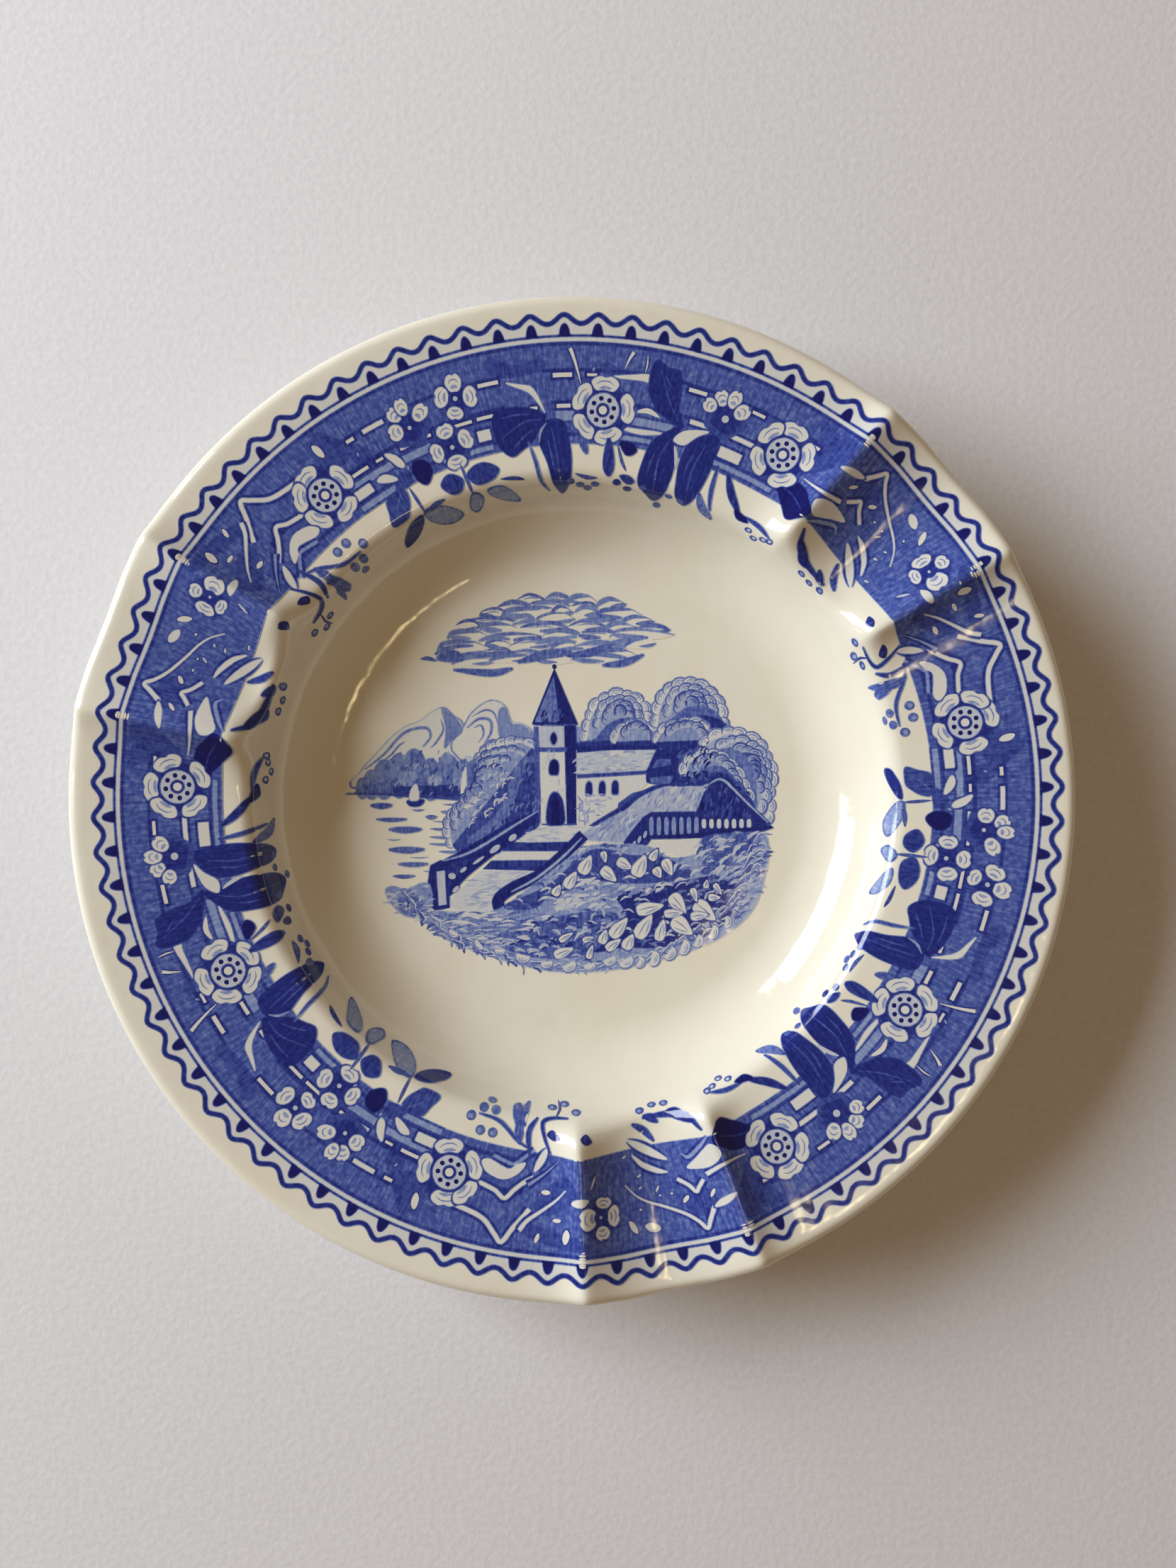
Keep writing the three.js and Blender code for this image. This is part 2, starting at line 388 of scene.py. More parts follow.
# %% Flowers, leaves and berries
def petal(place, angle, far, width, depth, ink=BARE):
    """One petal of a flower, with a dark edge and a soft shade towards the middle."""
    c, s = math.cos(math.radians(angle)), math.sin(math.radians(angle))
    turned_to = place_at((far * c, far * s), angle - 90)
    shape = [(-width * 0.53, 0.05), (-width * 0.44, depth * 0.38), (-width * 0.2, depth * 0.58),
             (0.02, depth * 0.5), (width * 0.22, depth * 0.6), (width * 0.46, depth * 0.34),
             (width * 0.52, -0.02), (width * 0.34, -depth * 0.42), (0, -depth * 0.56),
             (-width * 0.34, -depth * 0.4)]
    both = lambda p: place(turned_to(p))
    border.outlined(shape, ink, DARK, 0.24, both, 4)
    border.line([(-width * 0.34, -depth * 0.02), (-width * 0.16, depth * 0.22),
                 (width * 0.14, depth * 0.24), (width * 0.34, 0.0)], 0.2, 0.4, both, "both", 4)
    border.line([(-width * 0.22, -depth * 0.28), (width * 0.02, -depth * 0.2),
                 (width * 0.26, -depth * 0.26)], depth * 0.26, 0.3, both, "both", 3)


def rosette(a, q, petals):
    """The large flower: petals on a dark ring, a pale disc with eight dots, and an eye."""
    place = spot(a, q)
    border.fill(place(oval(4.3, 4.2, 22)), 0.72)
    border.fill(place(oval(3.7, 3.7, 26)), DARK)
    for angle in petals:
        petal(place, angle, 3.6, 3.95, 1.95)
    border.fill(place(oval(2.85, 2.8, 28)), DARK)
    border.fill(place(oval(2.42, 2.4, 28)), PALE)
    for k in range(8):
        t = math.radians(45 * k + 12)
        border.fill(place(oval(0.38, 0.36, 9) + (1.68 * math.cos(t), 1.68 * math.sin(t))), NAVY)
    border.fill(place(oval(0.98, 0.98, 16)), DARK)
    border.fill(place(oval(0.62, 0.62, 14)), BARE)


def flower(a, q, petals, eye=0.3):
    """A small flower: petals given as (angle, distance, width, depth)."""
    place = spot(a, q)
    border.blob(oval(3.0, 2.8, 10) * (1 + 0.14 * np.cos(3 * np.arange(10)))[:, None], 0.72, place)
    border.blob(oval(2.0, 1.9, 10) * (1 + 0.12 * np.cos(3 * np.arange(10)))[:, None], DARK, place)
    for angle, far, width, depth in petals:
        petal(place, angle, far * 0.93, width * 1.16, depth * 1.1)
    border.fill(place(oval(0.95, 0.9, 14)), DARK)
    border.fill(place(oval(eye, eye, 10)), PALE)


def leaf(outline, ink, ribs=(), rib_ink=MID, edge=None, place=strip):
    """A leaf of the border, with an engraved edge or paler ribs."""
    if edge is not None:
        border.outlined(outline, ink, edge, 0.28, place)
    else:
        border.blob(outline, ink, place)
    for rib in ribs:
        border.line(rib, 0.28, rib_ink, place, "both")


def berries(spots, radius=0.6, ink=MID, heart=WASH):
    """Berries at places of the border, each with a paler heart."""
    for a, q in spots:
        border.fill(spot(a, q)(oval(radius, radius * 1.05, 12)), ink)
        if heart is not None:
            border.fill(spot(a, q)(oval(radius * 0.45, radius * 0.5, 9) + (0.08, 0.1)), heart)


def seed(a, q, length, width, turn, ink=BARE):
    """A short pale dash with pointed ends."""
    border.outlined([(-length / 2, 0), (-length * 0.2, width * 0.5), (length * 0.25, width * 0.42),
                     (length / 2, 0), (length * 0.2, -width * 0.45),
                     (-length * 0.25, -width * 0.4)], ink, DARK, 0.16, spot(a, q, turn), 4)


print("motifs: rosette, flower, leaf, berries and seed")

# %% [markdown]
# ## The edge of the border
# Outermost is a scalloped line like the edge of lace, with a small bell hanging in each wave. A
# white ring and a dark one close it, and inside them lies the broad blue band that carries the
# motifs. All of these run on without a break, so they are drawn once for the whole repeat.

# %% Edge wave, rings and band
WAVES, WAVE_RADIUS, WAVE_HEIGHT = 29, 70.1, 0.64
BAND_INNER, BAND_OUTER, RING_OUTER = 52.7, 66.98, 67.6
first, last = SEAM - PERIOD - 1, SEAM + 1
turns = np.linspace(first, last, int((last - first) * 3.4))
phase = 2 * math.pi * (turns - SEAM) * WAVES / PERIOD
wave = WAVE_RADIUS + WAVE_HEIGHT * np.cos(phase) + 0.05 * np.cos(2 * phase)
border.fill(strip(np.vstack([np.stack([turns, wave], axis=-1), sweep(last, first, 67.9)])), 0.06)
border.line(np.stack([turns, wave], axis=-1), 0.58, 0.86, strip, bend=False)
band(first, last, RING_OUTER, 67.95, 0.78)
for k in range(WAVES + 1):
    bell = spot(SEAM - k * PERIOD / WAVES, 67.7)
    border.blob([(-0.95, 0), (-0.8, 0.35), (-0.66, 1.0), (-0.4, 1.6), (0, 1.84), (0.4, 1.6),
                 (0.66, 1.0), (0.8, 0.35), (0.95, 0)], NAVY, bell, 4)
band(first, last, BAND_OUTER, RING_OUTER, 0.07)
band(first, last, BAND_INNER, BAND_OUTER, MID)
band(first, last, 66.55, BAND_OUTER, 0.8)
print("rings and wave:", len(border.shapes), "shapes")
RINGS = len(border.shapes)

# %% [markdown]
# ## The ground of the band
# The blue band isn't even: it has darker patches, thin long lines and short white dashes that
# look like a trellis behind the flowers. They are laid before the flowers, which then cover them
# as they do on the plate.

# %% Ground of the repeat: darker patches, long lines and rails
for outline in ([(247, 66), (245.5, 64.5), (244, 62), (245, 60.5), (247, 60), (248.5, 61),
                 (249, 64)],
                [(244, 62.5), (242, 60), (241.8, 57.5), (243.2, 57.2), (244.5, 59.5)],
                [(222, 66), (219.5, 64.6), (217.5, 64.2), (215, 64.9), (214.8, 63.3), (219, 62.7),
                 (222, 63.4)],
                [(206, 64.3), (204, 63.4), (200, 63.6), (199.8, 62.9), (205, 62.6), (207, 63)],
                [(176, 66), (173, 65.6), (170.6, 66), (170.4, 62.4), (173.6, 58.4), (175.2, 58.2),
                 (174.6, 62.6)],
                [(167.6, 62.8), (165.2, 63.9), (163.4, 62.6), (162.2, 60.4), (164.8, 60.6),
                 (166.8, 60.2)],
                [(149, 66), (144, 65.4), (139, 63.6), (140, 62.4), (144.4, 63.6), (148.6, 64.4)],
                [(148, 58), (145.8, 60.3), (143.5, 61.4), (141.8, 60.4), (143, 58.2), (146, 55.4)]):
    border.blob(outline, 0.72, strip)
for a0, a1, q, width in ((262, 221, 58.62, 0.5), (246, 221, 62.95, 0.42), (215, 192, 63.1, 0.36),
                         (214, 176, 58.55, 0.5), (192, 175, 63.05, 0.36), (262, 221, 54.1, 0.5),
                         (213, 200, 54.0, 0.4), (190, 176, 54.35, 0.45)):
    border.line(sweep(a0, a1, q, 4), width, 0.8, strip, steps=3)
for a0, a1, q, width in ((247, 239.4, 56.5, 0.9), (238, 232.4, 56.3, 1.0),
                         (247.8, 241, 53.35, 0.75), (228, 224, 53.6, 0.6),
                         (213.4, 210.6, 56.7, 1.4), (188, 177, 53.7, 0.6), (204, 198.2, 53.9, 0.55),
                         (202.6, 195.2, 56.4, 1.0)):
    rail(a0, a1, q, width, WASH, 0.74)
for a0, a1, q, width in ((244.1, 242.9, 62.45, 0.5), (241.4, 238.2, 62.5, 0.6),
                         (224.1, 221.2, 62.4, 0.55), (213.5, 210.8, 62.4, 0.62),
                         (208.7, 207.3, 62.4, 0.4), (194.3, 191.7, 62.4, 0.55),
                         (184.9, 183.0, 62.45, 0.45), (175.2, 174.2, 62.3, 0.45),
                         (246.1, 243.3, 57.95, 0.5), (241.9, 240.7, 57.95, 0.4),
                         (237.8, 234.7, 57.85, 0.5), (233.9, 232.7, 57.95, 0.45),
                         (229.4, 226.2, 57.85, 0.45), (225.4, 222.8, 57.9, 0.48),
                         (217.2, 216.1, 58, 0.45), (213.2, 211.1, 58.05, 0.55),
                         (192.9, 188.4, 58.1, 0.6), (187.3, 182.6, 58.1, 0.6)):
    rail(a0, a1, q, width)
for a0, a1, q, width in ((247.5, 244.5, 55.25, 1.35), (225.9, 223.9, 55.45, 1.5),
                         (187.2, 183.6, 55.5, 1.5), (258.3, 255.5, 56.1, 1.0)):
    rail(a0, a1, q, width, BARE, DARK)
border.line([(205, 62.3), (202.5, 62.5), (200.8, 62.7), (199.6, 62.6)], 1.25, BARE, strip, "start")
border.line([(201, 57.8), (199.4, 58.15), (197.6, 57.6)], 0.75, BARE, strip, "both")
border.line([(203.2, 55.2), (200, 55.05), (196.6, 55.4)], 0.7, BARE, strip, "both")
print("rails:", len(border.shapes) - RINGS, "shapes")

# %% [markdown]
# ## Arches over the rests
# Where the rim dips into a rest, white lines bend into a pointed arch with seeds scattered
# inside. Each line is laid twice, wide and dark and then narrow and white, which gives both of
# its shadow lines at once.

# %% The pointed arch over each rest
arches = [
    (0.62, BARE, "round", [(263.3, 60.8), (262.4, 62.2), (261.3, 63.9), (260.2, 65.9),
                           (259.1, 64.9), (257.6, 63.4), (256, 62.75), (254, 62.4),
                           (252.5, 62.25)]),
    (0.55, BARE, "round", [(263.4, 56.2), (262, 57.2), (260.8, 58.4), (259.6, 59.8), (258.2, 59.0),
                           (256.6, 58.55), (255.3, 58.3)]),
    (0.42, WASH, "round", [(263, 52.4), (261.6, 53.6), (260.2, 54.8), (258.6, 54.6),
                           (256.8, 54.2)]),
    (0.62, BARE, "end", [(166.8, 62.9), (165.8, 64.5), (165.05, 65.7), (164.2, 64.5),
                         (162.8, 63.2), (160.4, 61.8), (158, 60.6), (156.3, 59.3), (154.9, 57.5)]),
    (0.5, BARE, "round", [(166.5, 58.8), (165.6, 59.7), (165, 60.3), (164.2, 59.2),
                          (162.8, 58.1)]),
    (0.75, BARE, "both", [(161.6, 56.9), (160, 56.4), (158, 55.2), (156.6, 53.6)]),
    (0.6, BARE, "start", [(173.6, 57.6), (171.6, 57.3), (169.8, 57.25), (167.2, 58.1)]),
    (0.45, WASH, "both", [(169.2, 52.6), (167.6, 53.9), (165.4, 55.2), (164.4, 54.6)]),
    (1.15, BARE, "both", [(162, 55.1), (160, 53.9), (158, 52.6), (156.2, 51.4)]),
    (0.6, BARE, "start", [(146.2, 57.4), (144.8, 59.1), (142.8, 60.9), (141.1, 62.4),
                          (140.2, 63.9)]),
    (0.5, WASH, "start", [(144.9, 53.4), (143.2, 55.2), (141.6, 56.6), (140.6, 57.4)]),
    (1.0, BARE, "both", [(141.3, 55.4), (142.2, 53.6), (143, 51.8)]),
]
for width, ink, tip, track in arches:
    border.line(track, width + 0.85, 0.82, strip, tip)
    border.line(track, width, ink, strip, tip)
leaf([(170.3, 61.9), (168.6, 62.9), (166.9, 63), (167.8, 62.1), (169.8, 61.6)], BARE, edge=0.8)
leaf([(170.1, 54.5), (170.2, 55.9), (168, 57.1), (165.4, 57), (164.7, 56.6), (166.3, 55.6),
      (168, 54.4), (169.2, 53.8)], BARE, edge=0.8)
leaf([(261.9, 54.4), (261.2, 55.8), (259.6, 57), (258, 57.2), (256, 56.5), (255.2, 55.3),
      (256.3, 54.8), (258.4, 55.4), (259.6, 55.6), (260.6, 54.8)], BARE, edge=0.82)
for a, q, length, width, turn in ((158, 64.2, 2.4, 1.2, -22), (155.4, 63.6, 2.3, 0.8, -62),
                                  (146.4, 64.1, 2.2, 1.0, 82), (142.6, 64.7, 1.5, 0.6, 72),
                                  (145.1, 61.9, 1.3, 0.6, 5), (148.3, 58.9, 2.6, 1.2, 10),
                                  (143.3, 58.1, 1.4, 0.7, 5), (163.3, 61.1, 1.4, 0.6, 42),
                                  (167.2, 60.9, 1.5, 0.5, 50), (248, 63.7, 2.4, 1.05, -78)):
    seed(a, q, length, width, turn)
for a, q, length, turn in ((159.6, 59.0, 1.1, 55), (161.5, 60, 0.5, 10), (159.8, 60, 0.4, 0),
                           (157.1, 58.4, 0.6, 30), (156.7, 61.4, 0.5, -40), (157.2, 56.7, 0.8, 20),
                           (150.2, 56.2, 2.0, 70), (155.3, 53.6, 0.8, 20)):
    seed(a, q, length, 0.35, turn, PALE)
print("arches:", len(border.shapes), "shapes so far")

# %% [markdown]
# ## Leaves of the band
# Large leaves in the deepest blue give the border its rhythm. A leaf is a closed smooth curve
# through a few points, with thin paler ribs. The ribs thin out at both ends, as an engraver's
# strokes do.

# %% Leaves of the band
leaf([(215, 56.6), (216.8, 57.9), (219.5, 58.5), (222.4, 58.3), (223.4, 56.5), (223.2, 54),
      (222.3, 52.4), (221, 51.6), (219.3, 52.3), (217.6, 53.2), (216.2, 54.8)], 0.88,
     [[(215.6, 56.3), (218.5, 56.2), (222.6, 54.3)],
      [(217.4, 57.2), (219.6, 57.4), (221.8, 57.3)], [(217.2, 55), (219, 54), (220.6, 52.8)]], 0.7)
leaf([(215.2, 56), (213.6, 56.3), (212.1, 55.6), (211.4, 53), (211.1, 50), (211.6, 46.6),
      (213, 44.2), (214.5, 46.6), (215.3, 50), (216.4, 53), (216.2, 55)], 0.86,
     [[(214.3, 55.4), (213.6, 51.5), (213.1, 46)], [(215, 53.5), (214.6, 51.5), (214.2, 49)]], 0.68)
border.line([(216.4, 53), (216, 54.6), (214.9, 55.8)], 0.4, WASH, strip, "both")
leaf([(193.6, 57), (195, 59.4), (195.2, 61.9), (196, 64.5), (197.7, 64.7), (199.3, 65.5),
      (200, 63.6), (199.8, 61), (198.8, 59.2), (197.2, 58), (195.4, 57.2)], 0.86,
     [[(194.6, 57.6), (196.8, 60.4), (198.6, 64.2)], [(196.6, 62), (197.2, 62.6), (198, 63.6)]],
     0.68)
leaf([(194, 57), (196, 55.8), (198, 53.8), (198.8, 51), (199, 47.9), (197.2, 45.6), (195.4, 44.3),
      (194, 46), (193.3, 50), (193.6, 53), (194.4, 54.6)], 0.88,
     [[(195, 55.2), (196.2, 51.5), (195.8, 46)], [(196.6, 53.6), (197.4, 51.4), (197.6, 49)]], 0.7)
leaf([(188, 57.3), (190.2, 56.8), (192, 55), (192.7, 52.6), (192.4, 50), (191.5, 46.8),
      (189.6, 45.2), (188.1, 48), (187.4, 51.5), (187.5, 54.6)], 0.86,
     [[(189.4, 55.8), (190.2, 51.5), (189.6, 46.8)], [(190.8, 54), (191.3, 52), (191.2, 50)]], 0.68)
leaf([(194.6, 54.9), (193.6, 56.4), (191.6, 57.2), (189.7, 57.5), (191.2, 56.3), (192.8, 54.6)],
     BARE, edge=0.88)
border.line([(194.2, 54.2), (193.5, 52.8), (193, 51)], 0.55, PALE, strip, "both")
leaf([(176.4, 54.9), (174.6, 56.6), (172.5, 56.3), (171, 55), (169.8, 53.6), (170.7, 52),
      (172.2, 51.1), (173.9, 52.4), (175.5, 53.8)], NAVY,
     [[(175.4, 55), (173.4, 54.6), (171, 53.2)]], 0.8)
leaf([(237.2, 55.2), (235.2, 55), (234.6, 53.4), (235.4, 52.2), (236.6, 51.7), (237.6, 53)], NAVY)
leaf([(241.6, 52.6), (240.2, 54.6), (238.6, 54.6), (238.4, 53), (239.4, 52.6)], 0.75)
leaf([(220.2, 62.1), (218.4, 61.6), (216.8, 61.1), (215.9, 59.8), (215, 57.2), (215.9, 58.6),
      (216.7, 59.8), (217.6, 60.6), (219, 61.3)], BARE, edge=0.8)
for width, tip, track in ((0.55, "end", [(211, 66.1), (210.5, 64.6), (210, 62.8), (209.6, 61.2)]),
                          (0.5, "end", [(202.6, 66), (203.1, 64.9), (203.5, 63.6)]),
                          (0.22, "both", [(200.7, 65.8), (200.6, 64.6), (200.7, 63.4)]),
                          (1.15, "both",
                           [(240.2, 58.2), (239.4, 57.2), (238.8, 56), (238.5, 55.4)]),
                          (1.2, "both", [(243.3, 55.5), (242, 55.2), (240.4, 54.3)]),
                          (1.2, "both", [(252, 54.4), (250.4, 54.5), (248.5, 55.2)])):
    border.line(track, width + 0.5, 0.82, strip, tip)
    border.line(track, width, BARE, strip, tip)
print("leaves:", len(border.shapes), "shapes so far")

# %% [markdown]
# ## Flowers of the band
# Three rosettes and four small flowers sit in each repeat. They come after the leaves, so their
# petals lie on top.

# %% Flowers of the band
rosette(251.05, 58.25, (100, 148, 214, 290, 8))
rosette(206.2, 57.5, (88, 152, 222, 286, 6))
rosette(178.25, 59.0, (92, 150, 222, 300, 22))
flower(235.2, 60.0,
       ((118, 3.0, 1.7, 1.7), (88, 3.3, 1.5, 1.9), (30, 2.9, 1.7, 2.1), (176, 2.3, 1.9, 1.7)))
flower(227.6, 61.6,
       ((80, 2.3, 2.0, 2.0), (160, 2.2, 2.4, 1.6), (352, 2.4, 2.4, 1.6), (252, 2.2, 2.0, 1.4)),
       0.36)
flower(230.3, 55.2,
       ((96, 2.6, 2.1, 1.6), (182, 2.6, 2.2, 1.5), (12, 2.5, 2.3, 1.6), (268, 2.3, 2.4, 1.5)), 0.34)
flower(188.1, 60.0,
       ((122, 3.2, 1.7, 1.7), (84, 3.2, 1.6, 2.0), (160, 3.3, 1.6, 1.6), (40, 2.8, 1.7, 1.9)), 0.55)
flower(151.1, 61.3,
       ((178, 2.0, 2.4, 1.3), (94, 2.4, 1.6, 1.5), (0, 1.9, 2.6, 1.9), (256, 2.2, 1.8, 1.2)), 0.22)
for a, q in ((238, 55), (243.6, 60.2), (232.2, 53.7), (207.8, 63.2)):
    seed(a, q, 0.7, 0.35, 60, WASH)
print("flowers:", len(border.shapes), "shapes so far")

# %% [markdown]
# ## The fringe on the wall
# Sprays of small leaves and berries hang from the band over the shoulder and down the well's
# wall. There is no blue ground here, so they are blue on bare glaze.

# %% Fringe that hangs down the well's wall
leaf([(245.2, 48.8), (244.6, 50.6), (243.6, 52.6), (240.4, 52.7), (240.3, 51), (241.4, 49.4),
      (242.4, 48.7)], 0.72, [[(243.6, 49.6), (242.6, 51), (241.2, 52.2)]], MID)
leaf([(239.6, 48.1), (242.4, 47.8), (244.7, 46.2), (245.3, 44), (243, 44.4), (241, 46)], 0.88)
leaf([(239, 48), (236.8, 48.3), (234, 46.8), (232.9, 44.6), (235.2, 43.8), (237.6, 45.2)], WASH,
     edge=0.76)
leaf([(238.6, 48.2), (236.8, 49), (234.6, 48.8), (236.4, 48.2)], MID)
leaf([(234.4, 50.6), (233, 51.7), (231.6, 51.5), (230.4, 50.3), (231.4, 48.9), (233.2, 49)], 0.78)
leaf([(229.6, 50.6), (228, 51.7), (225.8, 51.7), (223.9, 50.4), (225.2, 49.2), (228.2, 49)], 0.78)
leaf([(229.2, 47.8), (228.2, 46.8), (228.8, 45), (229.9, 44.2), (230.7, 45.4), (230.2, 47.2)], WASH,
     edge=0.72)
leaf([(226.6, 47.7), (224, 47.7), (222.3, 46), (221.6, 43.9), (224, 44.7), (225.8, 46.2)], WASH,
     edge=0.78)
for track, width, ink in (([(262.4, 52.4), (260, 51.4), (257.6, 49.8), (255.6, 49.1), (252.6, 49)],
                           0.5, 0.7), ([(239.4, 52.4), (239.2, 50.4), (239, 48)], 0.5, MID),
                          ([(230, 52.6), (229.8, 50), (229.6, 47.8)], 0.55, MID),
                          ([(224, 48.9), (221.5, 48.6), (219.8, 48.2)], 0.6, 0.72),
                          ([(218.2, 53.4), (217.4, 50.6), (216.8, 47.6), (215.4, 45)], 0.5, MID),
                          ([(209.6, 53.8), (208.5, 51.2)], 1.1, MID),
                          ([(204.9, 53.6), (204.6, 50), (204.4, 48.2)], 1.7, 0.8),
                          ([(203.4, 52.8), (202.4, 50.6), (201.4, 49.2)], 0.5, MID),
                          ([(186.4, 53.6), (185.9, 50), (184.6, 46.6)], 0.6, 0.7),
                          ([(184.4, 53), (182.4, 50.6), (179.6, 48.6)], 1.1, 0.84),
                          ([(178.6, 48.6), (175.4, 48.4), (172.6, 47.6)], 0.6, 0.74),
                          ([(168.8, 51.6), (167.2, 49.4), (163.4, 48.6), (159.4, 48.6)], 0.9, 0.8),
                          ([(160.6, 52.2), (159.2, 50.4), (157.4, 49.2)], 1.0, 0.72),
                          ([(143.6, 52.6), (142.4, 50.4), (141.8, 48.4), (143.4, 47.6),
                            (146.2, 47.4)], 0.5, 0.8),
                          ([(140.4, 53.6), (139.6, 50), (140.8, 47.8)], 0.7, 0.76),
                          ([(144, 47.6), (144.6, 45.6), (144.2, 43.6)], 0.4, 0.72)):
    border.line(track, width, ink, strip, "both")
leaf([(203, 53.2), (201, 53.2), (200.1, 52.4), (200.8, 51.6), (202, 51.6)], NAVY)
leaf([(202.4, 48.4), (200.8, 48.6), (199.6, 47.8), (200.8, 47.2)], 0.76)
leaf([(210.6, 48.4), (208.6, 48.2), (206.4, 47.8), (208.4, 47.4)], 0.6)
leaf([(180.6, 48.9), (178.4, 48.6), (177.4, 48), (179.4, 47.7)], NAVY)
leaf([(168, 50.2), (165.8, 49.8), (163.6, 48.4), (165.8, 48)], 0.86)
leaf([(162, 49.6), (160.4, 49.2), (159.6, 48.2), (161.4, 48.2)], 0.8)
leaf([(150.3, 50.4), (149.2, 50.6), (148.4, 49.8), (149.4, 49.3)], 0.8)
leaf([(145, 50.2), (143.8, 50.6), (142.7, 49.9), (143.6, 49.2)], 0.86)
leaf([(260.6, 51.4), (259.4, 50), (259.9, 47), (261, 45)], 0.6, edge=0.7)
leaf([(259.6, 49.4), (258.6, 48.2), (258.3, 46.4), (259.4, 45.6), (260.4, 47.6)], MID)
leaf([(187.6, 48.6), (185.4, 46.8), (184, 44.8), (186.4, 45.6)], 0.5, edge=0.76)
berries([(255.7, 51.1), (253.6, 51.2), (251.4, 49.6)], 0.72, 0.55, WASH)
berries([(255.3, 47.9), (253.1, 48.0), (254.2, 46.4)], 0.7, 0.5, None)
berries([(209.6, 46.2), (208.2, 45.4), (206.8, 46.4), (211.4, 47)], 0.66, 0.62, None)
berries([(200.7, 46), (202.8, 47.2)], 0.66, 0.76, None)
berries([(176.6, 46.8), (175, 45.6), (173.4, 46.6), (172.2, 47)], 0.62, 0.6, PALE)
berries([(163.8, 46.6), (161.6, 46.4), (159.2, 47.2)], 0.68, 0.62, WASH)
berries([(147.6, 46.2), (143.2, 45.4), (145.4, 44.4)], 0.72, 0.62, WASH)
berries([(192.8, 46.4), (190.4, 46), (194.6, 43.6), (197.9, 47)], 0.6, 0.62, None)
print("border:", len(border.shapes), "shapes")

# %% [markdown]
# ## From page to clay
# The Delaunay cut joins every outline of a page into one sheet of triangles without overlaps.
# Extra points, closer together where the clay bends, let the sheet follow the glaze. Bare
# triangles are dropped, as a transfer has no film where it has no ink. The sheet is then rolled
# onto the rim and down the wall, LIFT above the glaze, and shaded with the glaze's own normals.

# %% Cutting a page
LIFT = 0.045  # mm from the glaze to a print
NO_INK = 0.01  # anything paler is left out
CREEP = 0.13  # mm that ink spreads into the glaze
CREPT = 0.45  # strength of the spread ink
SOFT_AREA = 2.0  # square mm: smaller strokes stay crisp


def facing_up(points):
    """The outline in anticlockwise order, which the cut needs."""
    x, y = points[:, 0], points[:, 1]
    area = np.dot(x, np.roll(y, -1)) - np.dot(y, np.roll(x, -1))
    return points if area > 0 else points[::-1]


def spread(outline, amount):
    """The outline moved outwards all round."""
    way = np.roll(outline, -1, axis=0) - np.roll(outline, 1, axis=0)
    way /= np.maximum(np.hypot(way[:, :1], way[:, 1:]), 1e-6)
    return outline + np.stack([way[:, 1], -way[:, 0]], axis=-1) * amount


def page_area(outline):
    """Area inside an outline."""
    x, y = outline[:, 0], outline[:, 1]
    return abs(np.dot(x, np.roll(y, -1)) - np.dot(y, np.roll(x, -1))) / 2


def cut(shapes, more_points, more_edges=()):
    """Page triangles: corner places, three corners for each, and the ink of each.

    A larger shape is laid twice: first a little spread out, for the soft edge where ink has crept
    into the glaze, then at its own size."""
    places, faces, laid = [], [], []
    for outline, ink in shapes:
        outline = facing_up(outline)
        if page_area(outline) > SOFT_AREA:
            laid.append((spread(outline, CREEP), ink, True))
        laid.append((outline, ink, False))
    for outline, _, _ in laid:
        faces.append(list(range(len(places), len(places) + len(outline))))
        places.extend(outline)
    edges = []
    for line in more_edges:
        edges += [(len(places) + i, len(places) + i + 1) for i in range(len(line) - 1)]
        places.extend(line)
    places.extend(more_points)
    places = [Vector((float(x), float(y))) for x, y in places]
    spots, _, triangles, _, _, owners = delaunay_2d_cdt(places, edges, faces, 0, 1e-5, True)
    inks = []
    for own in owners:
        top = max(own, default=-1)
        ink = laid[top][1] if own else 0.0
        if own and laid[top][2]:
            under = max((o for o in own if o < top and not laid[o][2]), default=-1)
            ink = CREPT * ink + (1 - CREPT) * (laid[under][1] if under >= 0 else 0.0)
        inks.append(ink)
    return np.array([tuple(s) for s in spots]), np.array(triangles), np.array(inks)


def rolled(q):
    """Distance from the axis for a distance down the rolled-out page."""
    down = (RIM_RADIUS - q) / math.cos(RIM_SLOPE)
    round_length = SHOULDER_ROUND * (WALL_SLOPE - RIM_SLOPE)
    wall_length = math.hypot(wall_top_r - wall_foot_r, wall_top_z - wall_foot_z)
    on_round = shoulder_r - SHOULDER_ROUND * np.sin(RIM_SLOPE + down / SHOULDER_ROUND)
    on_wall = wall_top_r - (down - round_length) / wall_length * (wall_top_r - wall_foot_r)
    cove_angle = WALL_SLOPE - (down - round_length - wall_length) / COVE_ROUND
    on_cove = FLOOR_RADIUS + COVE_ROUND * np.sin(cove_angle)
    r = np.where(down < round_length + wall_length, on_wall, on_cove)
    r = np.where(down < round_length, on_round, r)
    return np.where(q >= RIM_RADIUS, q, r)


print("the page's radius 45 lies", round(float(rolled(45.0)), 1), "mm from the plate's middle")

# %% [markdown]
# ## Laying a sheet on the glaze
# A page is flat and the plate is not. Every corner of the page gets its place on the plate, its
# height from the glaze and a little lift, so that the print never sinks into the clay. An
# extruded solid would double the triangles for a film too thin to see, so the print is one open
# sheet, as it is on the plate. The ink is kept on the faces and the page itself becomes the UV
# map.

